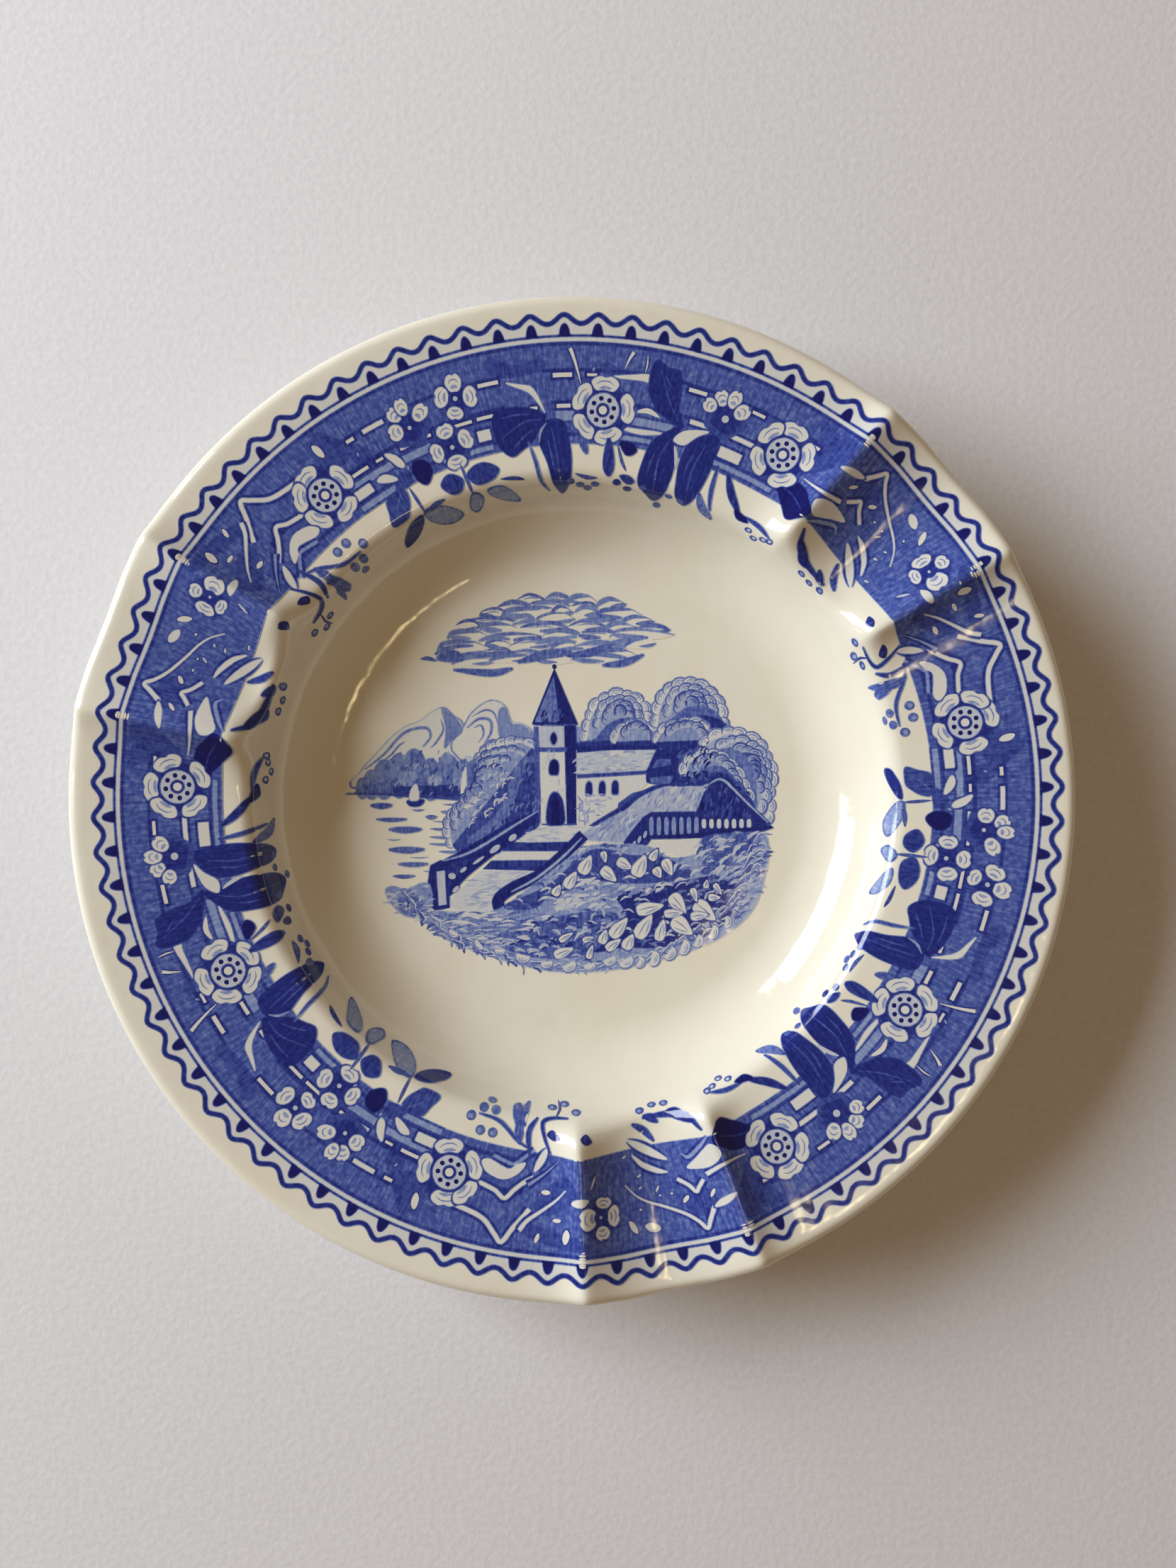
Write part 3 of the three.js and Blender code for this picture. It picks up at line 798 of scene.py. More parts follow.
# %% Laying a sheet on the glaze
def transfer(name, page, plan, triangles, ink, node, grain):
    """A print: page places for its UV map, plan places on the plate, and its inks."""
    kept = ink > NO_INK
    triangles, ink = triangles[kept], ink[kept]
    used, triangles = np.unique(triangles, return_inverse=True)
    triangles = triangles.reshape(-1, 3)
    page, plan, grain = page[used], plan[used], grain[used]
    normals = glaze_normal(plan[:, 0], plan[:, 1])
    spots = (glaze_point(plan[:, 0], plan[:, 1]) + LIFT * normals) * MM
    corners = spots[triangles]
    up = np.cross(corners[:, 1] - corners[:, 0], corners[:, 2] - corners[:, 0])[:, 2] > 0
    triangles = np.where(up[:, None], triangles, triangles[:, ::-1])
    mesh = bpy.data.meshes.new(name)
    mesh.from_pydata(spots.tolist(), [], triangles.tolist())
    mesh.attributes.new("ink", "FLOAT", "FACE").data.foreach_set("value", ink.astype(np.float32))
    low, high = page.min(axis=0), page.max(axis=0)
    for layer, uv in (("OFBake", 0.01 + 0.98 * (page - low) / (high - low)), ("grain", grain)):
        corner_uvs = uv[triangles].astype(np.float32).ravel()
        mesh.uv_layers.new(name=layer).data.foreach_set("uv", corner_uvs)
    mesh.shade_smooth()
    mesh.normals_split_custom_set_from_vertices(normals.tolist())
    print(name, len(triangles), "triangles")
    return piece(name, mesh, node)


# %% [markdown]
# ## Three lengths round the rim
# The repeat is used three times. Its ends carry on with the next repeat's motifs, so the lengths
# meet without a gap, and each length is pulled a little so that its arch stands over its rest.
# Points lie closer together where the ridges bend.

# %% The three lengths of the border
PRINT_CENTRE = (0.8, 0.1)  # mm: the print sits a little to the right
PAGE_ARCH = 31.65  # page angle of the first arch's middle
ARCH_MIDDLES = (35.45, 153.75, 275.85, 395.45, 513.75)  # plate angles of the arches
BEND_START, BEND_END, BEND_REACH = 45.6, 50.4, 2.0
COARSE_STEP, FINE_STEP = 0.85, 0.42
prints = []


def pulled(angle):
    """A printer's hand doesn't pull the three lengths quite alike: page angle to plate angle."""
    page_middles = [PAGE_ARCH + PERIOD * k for k in range(len(ARCH_MIDDLES))]
    return np.interp(angle, page_middles, ARCH_MIDDLES)


def on_plate(page, length):
    """Plan place on the plate of a page place of one border length, in mm."""
    page_angle = np.degrees(np.arctan2(page[:, 1], page[:, 0])) % 360
    angle = np.radians(pulled(page_angle + PERIOD * length))
    r = rolled(np.hypot(page[:, 0], page[:, 1]))
    return np.stack([r * np.cos(angle), r * np.sin(angle)], axis=-1) + PRINT_CENTRE


def near_bend(page, length):
    """Where the clay bends sharply: at the shoulder and along the crests of the rests."""
    plan = on_plate(page, length)
    q = np.hypot(page[:, 0], page[:, 1])
    near = (q > BEND_START) & (q < BEND_END)
    for angle in np.radians(REST_ANGLES):
        along = plan[:, 0] * np.cos(angle) + plan[:, 1] * np.sin(angle)
        across = np.abs(plan[:, 1] * np.cos(angle) - plan[:, 0] * np.sin(angle))
        half = REST_HALF_WIDTH + REST_FLARE * (along - RIM_RADIUS)
        near |= (along > REST_FADE_START) & (np.abs(across - half) < BEND_REACH)
    return near


def page_grid(step, low, high):
    """Evenly spread page points, in rings that are set off by half a step."""
    rings = []
    for k, q in enumerate(np.arange(low, high, step)):
        turn = math.degrees(step / q)
        a = np.arange(SEAM - PERIOD, SEAM, turn) + (k % 2) * turn / 2
        rings.append(strip(np.stack([a, np.full_like(a, q)], axis=-1)))
    return np.vstack(rings)


turn = math.radians(-PERIOD)
turn_back = np.array([[math.cos(turn), math.sin(turn)], [-math.sin(turn), math.cos(turn)]])
repeat = list(border.shapes[:RINGS])
for outline, ink in border.shapes[RINGS:]:
    for copy in (outline, outline @ turn_back):
        angles = np.degrees(np.arctan2(copy[:, 1], copy[:, 0])) % 360
        if angles.max() > SEAM - PERIOD - 0.5 and angles.min() < SEAM + 0.5:
            repeat.append((copy, ink))
seams = [strip([(a, q) for q in np.arange(42.5, 72.5, 1.0)]) for a in (SEAM - PERIOD, SEAM)]
coarse, fine = page_grid(COARSE_STEP, 42.6, 72), page_grid(FINE_STEP, 44, 72)

for length in range(3):
    grid = np.vstack([coarse[~near_bend(coarse, length)], fine[near_bend(fine, length)]])
    page, triangles, ink = cut(repeat, grid, seams)
    middle = page[triangles].mean(axis=1)
    angles = np.degrees(np.arctan2(middle[:, 1], middle[:, 0])) % 360
    ink = np.where((angles > SEAM - PERIOD) & (angles < SEAM), ink, 0.0)
    around = np.radians(np.degrees(np.arctan2(page[:, 1], page[:, 0])) % 360)
    grain = np.stack([around * 60, np.hypot(page[:, 0], page[:, 1])], axis=-1)
    prints.append(transfer(f"border_transfer_{length + 1}", page, on_plate(page, length), triangles,
                           ink, f"border_print_{length + 1}", grain))
print("border:", len(prints), "lengths, with", len(repeat), "shapes on each page")

# %% [markdown]
# ## The country scene in the well
# The well's floor is flat, so this page is simply the floor in millimetres, +Y to the top of the
# scene. It is a view of common country things: a bank of cloud, hills and a lake with a sailing
# boat, a church, trees, a thatched cottage, steps, and plants in front that close the oval.

# %% Brushes of the scene
view = Page()
painter = np.random.default_rng(21)


def patch(points, ink, edge=None, width=0.22):
    """A smooth patch of ink, with an engraved line round it if an edge ink is given."""
    if edge is None:
        view.blob(points, ink)
    else:
        view.outlined(points, ink, edge, width)


def sharp(points, ink):
    """A straight-sided patch, without smoothing."""
    view.fill(points, ink)


def curl(cx, cy, size, turned, lit, edge):
    """One tuft of leaves: a bright dome with a smaller arc inside it."""
    place = place_at((cx, cy), turned)
    t = np.radians(np.linspace(-24, 204, 8))
    dome = np.stack([np.cos(t), 0.8 * np.sin(t)], axis=-1) * size
    view.fill(place(dome), lit)
    view.line(dome, painter.uniform(0.26, 0.4), edge, place, "both", bend=False)
    inner = painter.uniform(0.5, 0.66)
    view.line(dome[1:-1] * inner + (painter.uniform(-0.1, 0.1) * size, -0.02),
              painter.uniform(0.18, 0.28), edge * 0.8, place, "both", bend=False)
    if size > 1.0:
        view.line(dome[2:-2] * 0.3 - (0, 0.1), 0.2, edge * 0.7, place, "both", bend=False)


def crown(outline, rows, size, lit=0.05, edge=0.44, darker=0.07, base=None):
    """Foliage under a crown line drawn from left to right: rows of curls, darker row by row."""
    path = curve(outline, 8)
    if base is not None:
        view.fill(path, base)
    steps = np.hypot(*np.diff(path, axis=0).T)
    along = np.concatenate([[0], np.cumsum(steps)])
    middle = path.mean(axis=0)
    reach = max(np.hypot(*(path - middle).T).mean(), 1.0)
    for row in range(rows):
        inner = middle + (path - middle) * (1 - row * size * 1.25 / reach)
        count = max(2, int(along[-1] * (1 - 0.16 * row) / (size * 1.5)))
        for i in range(count):
            d = (i + 0.5 + (row % 2) * 0.4 + painter.uniform(-0.12, 0.12)) / count * along[-1]
            x, y = np.interp(d, along, inner[:, 0]), np.interp(d, along, inner[:, 1])
            ahead = np.interp(d + 0.4, along, path[:, 0]) - np.interp(d - 0.4, along, path[:, 0])
            rise = np.interp(d + 0.4, along, path[:, 1]) - np.interp(d - 0.4, along, path[:, 1])
            turned = math.degrees(math.atan2(rise, ahead)) * (1 - 0.15 * row)
            shade = darker * row + 0.05 * max(0.0, i / count - 0.55) + painter.uniform(0, 0.04)
            curl(x, y, size * painter.uniform(0.85, 1.2) * (1 - 0.06 * row), turned, lit + shade,
                 edge + shade)


def white_leaf(x, y, length, width, angle, ink=BARE):
    """A pale leaf of the foreground, with a dark rib and a shaded side."""
    place = place_at((x, y), angle)
    outline = [(-length * 0.46, 0.08 * width), (-length * 0.4, width * 0.4),
               (-length * 0.1, width * 0.5), (length * 0.25, width * 0.3), (length * 0.56, 0),
               (length * 0.2, -width * 0.36), (-length * 0.15, -width * 0.5),
               (-length * 0.42, -width * 0.34)]
    view.outlined(outline, ink, 0.86, 0.2, place, 3)
    rib = [(-length * 0.4, 0), (0, width * 0.06), (length * 0.34, 0)]
    view.line(rib, 0.2, 0.4, place, "both", 2)
    view.line([(-length * 0.2, -width * 0.36), (length * 0.12, -width * 0.24),
               (length * 0.36, -width * 0.08)], 0.34, 0.24, place, "both", 2)


def scatter(outline, count, length, angle, inks, width=0.3, bend=0.15, stray=14):
    """Short strokes scattered in an outline, as an engraver fills grass or shade."""
    polygon = curve(outline, 4, closed=True)
    low, high = polygon.min(axis=0), polygon.max(axis=0)
    start, end = polygon, np.roll(polygon, -1, axis=0)
    made = 0
    while made < count:
        x, y = painter.uniform(low, high)
        over = (start[:, 1] > y) != (end[:, 1] > y)
        rise = np.where(over, end[:, 1] - start[:, 1], 1)
        hit = start[:, 0] + (y - start[:, 1]) * (end[:, 0] - start[:, 0]) / rise
        if not (over & (x < hit)).sum() % 2:
            continue
        size = length * painter.uniform(0.6, 1.35)
        way = angle(x, y) if callable(angle) else angle
        place = place_at((x, y), way + painter.normal(0, stray))
        view.line([(-size / 2, 0), (0, size * bend), (size / 2, 0)],
                  width * painter.uniform(0.8, 1.5), float(painter.choice(inks)), place, "both", 2)
        made += 1


print("scene: one page, painted from the sky forwards")

# %% [markdown]
# ## The cloud
# The sky is bare glaze with one long bank of cloud. It is built of rolls laid in rows from the
# top down, each white with a brushed line over its top, and then long strokes of shade along the
# underside. A seeded random spread keeps the rows from looking like bricks, and gives the same
# cloud at every run.

# %% Sky: a long bank of cloud
def puff(cx, cy, w, tall):
    """One roll of cloud: bright, with a brushed line over its top and shade under one side."""
    k = painter.uniform(-0.2, 0.2, 3)
    arch = [(cx - w, cy - tall * 0.5), (cx - w * 0.78, cy + tall * (0.1 + k[0])),
            (cx - w * 0.2, cy + tall * 0.5), (cx + w * 0.45, cy + tall * (0.4 + k[1])),
            (cx + w * 0.95, cy - tall * 0.2)]
    view.blob(arch + [(cx + w * 0.4, cy - tall * 0.75), (cx - w * 0.5, cy - tall * 0.8)], 0.02,
              None, 4)
    dark = float(painter.uniform(0.42, 0.6))
    over = arch[:4] if k[2] < 0 else arch[1:]
    view.line(over, painter.uniform(0.45, 0.85), dark, None, "both", 5)
    if k[1] < 0.08:
        view.line(arch, 0.24, dark * 0.9, None, "both", 4)
    side = -1 if k[0] > 0 else 1
    view.line([(cx + side * w * 0.95, cy - tall * 0.15), (cx + side * w * 0.5, cy - tall * 0.42),
               (cx - side * w * 0.1, cy - tall * 0.5)], painter.uniform(0.5, 1.0),
              dark * painter.uniform(0.75, 1.0), None, "both", 4)
    if k[2] > 0.04:
        view.line([(cx - w * 0.5, cy - tall * 0.05), (cx, cy + tall * 0.15), (cx + w * 0.4, cy)],
                  0.3, 0.3, None, "both", 4)


cloud_rows = ((32.0, -8.8, 3.6, 3), (30.9, -12.0, 8.2, 4), (29.6, -14.6, 10.8, 5),
              (28.4, -16.6, 12.6, 5), (27.1, -18.8, 15.2, 6), (25.8, -19.8, 15.4, 5),
              (24.4, -21.2, 13.2, 6), (23.1, -21.4, 10.0, 5), (21.9, -18.8, 8.4, 4))
for y, x0, x1, count in cloud_rows:
    ends = np.cumsum(painter.uniform(0.6, 1.5, count))
    ends = np.concatenate([[0], ends]) / ends[-1] * (x1 - x0) + x0
    for a, b in zip(ends, ends[1:]):
        puff((a + b) / 2, y + painter.uniform(-0.45, 0.45), (b - a) * painter.uniform(0.5, 0.62),
             painter.uniform(0.95, 1.45))
for track, width, ink in (([(-21.6, 22.2), (-19.4, 22.6), (-17.2, 22.2)], 1.9, 0.56),
                          ([(-6, 24.6), (-3, 25.2), (0.4, 24.8)], 0.9, 0.4),
                          ([(5, 24.4), (8, 25.0), (11.4, 25.4)], 0.8, 0.44),
                          ([(-15, 25.0), (-12.6, 25.6), (-10, 25.2)], 0.7, 0.42),
                          ([(-9.6, 27.6), (-6.8, 28.2), (-4, 27.8)], 0.6, 0.4),
                          ([(1.4, 28.4), (3.8, 28.0), (6, 28.6)], 0.6, 0.4),
                          ([(-8.8, 21.6), (-4, 22.9), (0, 23.1)], 1.5, 0.55),
                          ([(-1, 22.6), (3, 23.2), (6.6, 24.6)], 1.3, 0.58),
                          ([(4.6, 21.1), (8, 21.5), (11.2, 22.8)], 1.1, 0.56),
                          ([(-19, 20.4), (-13, 19.9), (-9.6, 20.6)], 1.1, 0.56),
                          ([(-16, 22.6), (-12, 22.9), (-9, 23.2)], 0.8, 0.5),
                          ([(-24.2, 22.1), (-23, 22.2), (-21.6, 21.8)], 0.7, 0.5)):
    view.line(track, width, ink, None, "both", 6)
print("cloud:", len(view.shapes), "shapes")

# %% [markdown]
# ## Hills and lake
# Two pale hills with a few contour lines stand behind a wooded shore. The lake is bare glaze with
# level strokes that get wider towards the viewer, and a small boat gives it a size.

# %% Hills, far shore and lake
patch([(-34, 1.6), (-33.3, 4.6), (-31, 7.2), (-28.6, 9.8), (-26.4, 11.4), (-24.4, 12.2),
       (-22.6, 13.5), (-20.6, 14.3), (-19, 13), (-17.6, 11.8), (-16.6, 8), (-15.6, 1.6)], 0.05, 0.5,
      0.28)
patch([(-19, 7.6), (-17.2, 11.4), (-15.8, 13.7), (-13.2, 15.4), (-11, 14.7), (-9.8, 12.2),
       (-8.2, 11.8), (-6.4, 10.2), (-5.6, 5), (-12, 3)], 0.05, 0.46, 0.26)
patch([(-11.8, 13.8), (-10.6, 14.4), (-9.8, 12), (-8, 11.6), (-6.2, 10), (-6.6, 8), (-10.6, 8.4),
       (-11.8, 10.2)], 0.36)
patch([(-20.8, 14.2), (-19.6, 13.6), (-18, 12), (-17.6, 10.6), (-19.2, 9.2), (-20.4, 8),
       (-20.2, 11)], 0.42)
for track in ([(-33, 4.6), (-30, 7), (-26.8, 10.4), (-23.4, 11.2), (-22.6, 9.8), (-23.8, 8.2)],
              [(-31.6, 4.8), (-29, 6.8), (-27.6, 8.4), (-26.6, 9)],
              [(-21, 12.6), (-20.6, 10.8), (-21.8, 8.8), (-22.6, 8)],
              [(-32.6, 3.2), (-31, 4.8), (-29.4, 6)],
              [(-16.8, 11.2), (-15, 12.6), (-13.2, 12.4), (-13, 10.6), (-14.2, 8.4)],
              [(-15.8, 11.2), (-14.6, 11.6), (-14.2, 10.2), (-15, 8.8)],
              [(-16, 13), (-14, 14), (-12.6, 13.6), (-12, 12)],
              [(-30, 5.6), (-28.2, 6.6), (-27.2, 7.4)]):
    view.line(track, 0.36, 0.44, None, "both", 6)
shore = [(-33.4, 2.6, 0.9, 1.5), (-31.9, 3.2, 1.3, 2.2), (-30, 4.0, 1.6, 3.0),
         (-27.6, 4.6, 1.7, 3.4), (-25.2, 5.1, 2.0, 3.6), (-22.6, 4.0, 1.6, 3.2),
         (-19.8, 4.6, 1.9, 3.2), (-17.4, 4.2, 1.5, 2.8), (-15.4, 4.6, 1.6, 2.6)]
for x, y, rx, ry in shore:
    view.outlined(oval(rx, ry, 12) + (x, y - 1), 0.36 + 0.16 * painter.random(), 0.56, 0.15)
sharp([(-34.2, 1.6), (-31, 3.2), (-14.6, 3.4), (-14.4, 0.2), (-24, 0.2), (-34.8, 0.7)], 0.52)
sharp([(-28.6, 1.9), (-14.4, 2.2), (-14.4, 0.2), (-24, 0.1), (-28.4, 0.4)], 0.8)
for x, y, rx, ry, ink in ((-26.2, 3.2, 1.5, 1.2, 0.34), (-22, 2.9, 1.2, 0.8, 0.26),
                          (-18.4, 2.7, 0.9, 0.7, 0.3), (-30.6, 3.6, 1.2, 0.9, 0.42),
                          (-20, 6.4, 0.8, 0.9, 0.36), (-25, 6.6, 1.0, 0.9, 0.5),
                          (-16.6, 6.4, 0.8, 0.4, 0.14)):
    view.blob(oval(rx, ry, 9) + (x, y), ink)
scatter([(-33, 1.4), (-32, 3.6), (-25, 7.5), (-16, 6), (-14.6, 1), (-28, 0.8)], 90, 1.0, 70,
        [0.26, 0.4, 0.62, 0.68], 0.26)
view.line([(-36, 0.75), (-30, 0.7), (-22, 0.2), (-14.6, -0.3)], 0.5, 0.72, None, "start", 8)
for x, y, w, tall, ink in ((-30.4, -1.2, 3.4, 0.9, 0.6), (-28.8, -3.4, 4.8, 0.6, 0.56),
                           (-26.6, -5.0, 5.2, 1.0, 0.56), (-26.4, -8.2, 5.6, 1.0, 0.56),
                           (-25.4, -10.5, 4.8, 0.7, 0.52), (-26.8, -12.4, 3.6, 0.7, 0.5),
                           (-22.5, -3, 1.9, 0.8, 0.5), (-21, -4.9, 3.4, 0.5, 0.42),
                           (-20.6, -6.2, 4.4, 0.5, 0.42), (-20.4, -7.3, 5, 0.5, 0.4),
                           (-19.4, -8.5, 3.8, 0.5, 0.42), (-19.8, -2.2, 2.4, 0.7, 0.36),
                           (-20.2, -3.7, 4.2, 0.3, 0.36), (-24.6, -1.9, 2.0, 0.4, 0.4),
                           (-19, -1, 3.4, 0.4, 0.34), (-28.4, -6.6, 2.2, 0.25, 0.3),
                           (-24.4, -9.4, 3, 0.22, 0.3), (-22.8, -11.6, 1.8, 0.3, 0.3)):
    view.line([(x - w / 2, y + 0.1), (x, y), (x + w / 2, y + 0.12)], tall, ink, None, "both", 6)
patch([(-26.4, -0.5), (-25.8, -1.2), (-24.4, -1.2), (-23.6, -0.4), (-24.2, -0.1), (-25.6, -0.1)],
      0.86)
patch([(-25.9, -0.2), (-25.7, 1.4), (-24.9, 2.3), (-24.5, 1), (-24.6, -0.2)], BARE, 0.6, 0.14)
patch([(-17.8, 0.8), (-17.6, 3.4), (-17, 5), (-16.9, 2.6), (-17, 0.8)], BARE, 0.5, 0.12)
print("hills and lake:", len(view.shapes), "shapes so far")

# %% [markdown]
# ## Trees
# The crowns are rows of curls under a scalloped line, bright on top and darker row by row, over
# plain dark shapes for the shade below. Short strokes break up the edge between light and shade.

# %% Trees by the church and behind it
patch([(-13.6, 8), (-9.6, 9.6), (-5.8, 8), (-5.4, -4), (-9, -7.6), (-15, -9.2), (-19, -7.6),
       (-18.6, -3.2), (-15.4, 0), (-14.6, 4)], 0.7)
crown([(-19.4, -7.6), (-19.9, -4.7), (-18.9, -2.1), (-15.9, -0.6), (-16.4, 1.1), (-14.8, 2.7),
       (-15.4, 4.8), (-14.3, 7.5), (-11.3, 8.8), (-8.2, 9.1), (-6.4, 8.4)], 4, 0.98, 0.05, 0.46,
      0.09, 0.3)
patch([(-9.0, 5.0), (-6.4, 6.6), (-5.4, 3), (-5.4, -4), (-8.6, -6), (-14.4, -7.4), (-16.6, -6.6),
       (-14.2, -4.4), (-12.4, -2.8), (-10.8, 0.2)], 0.52)
patch([(-7.8, 4.4), (-6.2, 5.6), (-5.4, 3), (-5.4, -4), (-8.6, -6), (-13.4, -6.8), (-10.4, -3.4),
       (-8.9, 0.4)], 0.76)
scatter([(-9.2, 4.4), (-6.4, 5.6), (-5.4, 3), (-5.4, -4), (-8.6, -6), (-13.4, -6.4), (-11.2, -2.4),
         (-9.6, 0.4)], 70, 1.1, 75, [0.5, 0.6, 0.86], 0.3)
scatter([(-14, 5), (-11, 6), (-9.6, 2), (-12.4, -2.4), (-16, -4.4), (-15.6, -1)], 46, 1.0, 40,
        [0.1, 0.16, 0.5], 0.26, 0.3)
patch([(0.4, 11.2), (3.4, 11), (8, 11.6), (13.4, 10.6), (14, 8), (0.4, 7.8)], 0.34)
crown([(1.7, 9.1), (2.5, 12.8), (4.0, 15.3), (6.6, 16.5), (9.2, 16.2), (11.2, 14.8), (11.8, 12.6),
       (12.2, 10.2)], 4, 1.1, 0.05, 0.44, 0.08, 0.26)
patch([(0.4, 8.9), (3.4, 9.4), (5.6, 11.8), (8.6, 12.8), (11, 12.2), (13.6, 10), (14.4, 8),
       (0.4, 7.7)], 0.6)
patch([(0.4, 8.7), (5.4, 9.2), (8.2, 11.2), (10.4, 11.6), (13.6, 9.8), (14.4, 8), (0.4, 7.7)], 0.8)
crown([(6.4, 9.0), (7.4, 11.0), (10.0, 12.0), (12.8, 10.9), (13.4, 9.4)], 2, 1.0, 0.08, 0.5, 0.14,
      0.3)
crown([(13.0, 11.6), (13.5, 14.7), (15.0, 17.2), (17.8, 18.3), (20.7, 17.6), (22.8, 15.4),
       (23.7, 12.8), (24, 11.0)], 4, 1.2, 0.05, 0.44, 0.08, 0.28)
patch([(14, 8.8), (15.4, 12.2), (17.6, 14.2), (20.6, 14.6), (23.4, 12.8), (24.6, 8), (22, 4),
       (18, 2), (15.4, 2.2)], 0.56)
patch([(14, 8.8), (16.2, 11.8), (20, 13.2), (24.2, 11.8), (24.6, 8), (22, 4), (18, 2), (15.4, 2.2)],
      0.82)
crown([(12.8, 9.0), (14.2, 10.9), (16.8, 11.8), (19.4, 12.0), (21.6, 11.0), (22.2, 9.4)], 2, 1.1,
      0.06, 0.5, 0.14, 0.34)
crown([(20.4, 8.4), (22.2, 9.8), (25, 10.6), (27.5, 9.8), (29.6, 8.6), (30.9, 6.2), (31.5, 3.8),
       (31.2, 0.8), (31.2, -2.0), (30.4, -3.8)], 4, 1.2, 0.05, 0.44, 0.08, 0.24)
patch([(20, 6.4), (23, 7.8), (26.4, 7.4), (28.6, 4.6), (29.0, 1), (29.0, -1.6), (26, 1.2), (22, 3)],
      0.5)
crown([(17.4, 4.0), (18.3, 6.1), (20.9, 7.2), (23.6, 6.6), (25.7, 4.6), (27.2, 2.2), (28.2, -0.4)],
      2, 1.15, 0.07, 0.5, 0.12, 0.34)
patch([(18.4, 2.4), (20.6, 4.6), (23.6, 5.0), (26.2, 2.4), (28.8, -1), (27.6, -2), (24, 2.6),
       (20, 2)], 0.58)
patch([(18.4, 2.4), (21, 3.8), (24.0, 4.0), (26.6, 1.6), (28.8, -1.2), (27.6, -2), (24, 2.6),
       (20, 2)], 0.8)
scatter([(15, 3), (16, 8), (22, 9), (21, 4), (18, 2.2)], 44, 1.2, 60, [0.62, 0.94], 0.3)
scatter([(18.4, 2.4), (21, 4.0), (24.2, 4.2), (28, 0.6), (28.8, -1), (26, 1)], 36, 1.2, -35,
        [0.62, 0.94], 0.26)
print("trees:", len(view.shapes), "shapes so far")

# %% [markdown]
# ## Church
# The church is a plain village one: a square tower with a pointed roof, and a nave beside it. Both
# are straight-sided, so their shapes are filled without smoothing. One lit side and one dark side
# are enough to give the tower its depth, and the windows get a pale line round them.

# %% Church
sharp([(-6.2, 11.4), (-5.2, 11.4), (-5.2, -4), (-6.0, -2.6)], 0.62)
sharp([(-5.3, 7.5), (-1.2, 7.5), (-0.9, -4.1), (-4.9, -4.1)], 0.06)
sharp([(-5.5, 11.8), (-1.5, 11.8), (-1.3, 8.0), (-5.3, 8.0)], 0.14)
sharp([(-1.4, 12), (0.4, 11.8), (0.55, -4.1), (-0.95, -4.1)], 0.93)
for track, width in (([(-6.2, 7.8), (-3, 7.7), (-1, 7.8)], 0.6),
                     ([(-6.3, 11.9), (-3, 11.8), (0.6, 11.9)], 0.5),
                     ([(-5, -4.1), (-2, -4.15), (0.6, -4.1)], 0.3)):
    view.line(track, width, 0.66, None, "round", 4)
sharp([(-6.5, 11.8), (-3.0, 20.6), (0.7, 11.8)], 0.92)
sharp([(-6.1, 12.1), (-3.1, 19.4), (-2.2, 12.1)], 0.5)
view.blob(oval(0.34, 0.4, 9) + (-3.0, 20.9), 0.92)
scatter([(-6, 12), (-3, 14.4), (0.2, 12)], 22, 0.9, 60, [0.66, 1.0], 0.2)
scatter([(-5, 7), (-1.6, 7), (-1.4, -3.6), (-4.6, -3.6)], 26, 0.9, 88, [0.1, 0.14, 0.2], 0.22)
view.outlined(oval(0.48, 0.92, 12) + (-3.1, 9.5), NAVY, 0.4, 0.2)
view.outlined([(-3.7, 4.0), (-3.65, 5.6), (-3.0, 6.1), (-2.4, 5.6), (-2.4, 4.0), (-3.0, 3.8)], NAVY,
              0.4, 0.2, None, 3)
view.outlined([(-4.0, -4.0), (-4.0, -1.2), (-3.6, 0.3), (-2.9, 0.9), (-2.1, 0.3), (-1.6, -1.2),
               (-1.6, -4.0)], 0.9, 0.6, 0.3, None, 3)
sharp([(-3.4, -4.0), (-3.3, -0.6), (-2.8, 0.3), (-2.2, -0.6), (-2.2, -4)], NAVY)
sharp([(0.6, 7.5), (13.2, 7.9), (11.7, 4.4), (0.6, 3.6)], 0.13)
scatter([(1, 7), (12.4, 7.3), (11.2, 4.8), (1, 4)], 60, 1.5, 3, [0.07, 0.2, 0.26], 0.26)
sharp([(0.6, 8.2), (6, 8.4), (13.6, 8.3), (13.2, 7.8), (6, 7.75), (0.6, 7.3)], 0.88)
sharp([(13.3, 8), (14.6, 7.6), (16.8, 6.2), (16.2, 2.8), (13.2, 2.2), (11.4, 2.6), (11.7, 4.4)],
      0.86)
sharp([(12.4, 4.8), (15.6, 5.4), (15.4, 6.2), (13.4, 6.2)], 0.6)
sharp([(12, 3.2), (15.8, 3.6), (15.6, 2.6), (12.6, 2.3)], 0.55)
sharp([(0.6, 3.4), (11.4, 3.9), (11.6, 2.4), (9.4, 0.4), (6.6, -1.9), (3.4, -3.9), (0.6, -4.1)],
      0.07)
view.line([(0.6, 3.5), (6, 3.8), (11.7, 4.15)], 0.5, 0.72, None, "round", 4)
for k, x in enumerate((2.5, 4.6, 6.65)):
    arch = [(-0.48, -0.95), (-0.5, 0.2), (-0.3, 0.85), (0.05, 1.05), (0.4, 0.8), (0.52, 0.1),
            (0.45, -0.95), (0, -1.1)]
    view.outlined(arch, 0.9, 0.4, 0.16, place_at((x, 1.6 + 0.08 * k)), 3)
scatter([(1, 0.4), (7.4, 0.2), (5.4, -2), (3, -3.4), (1, -3.6)], 34, 1.0, 0, [0.16, 0.24, 0.34],
        0.2, 0.02)
scatter([(0.7, -0.4), (2.6, -0.4), (2.6, -3.4), (0.9, -3.6)], 16, 1.2, 88, [0.2, 0.3], 0.24, 0.02)
print("church:", len(view.shapes), "shapes so far")

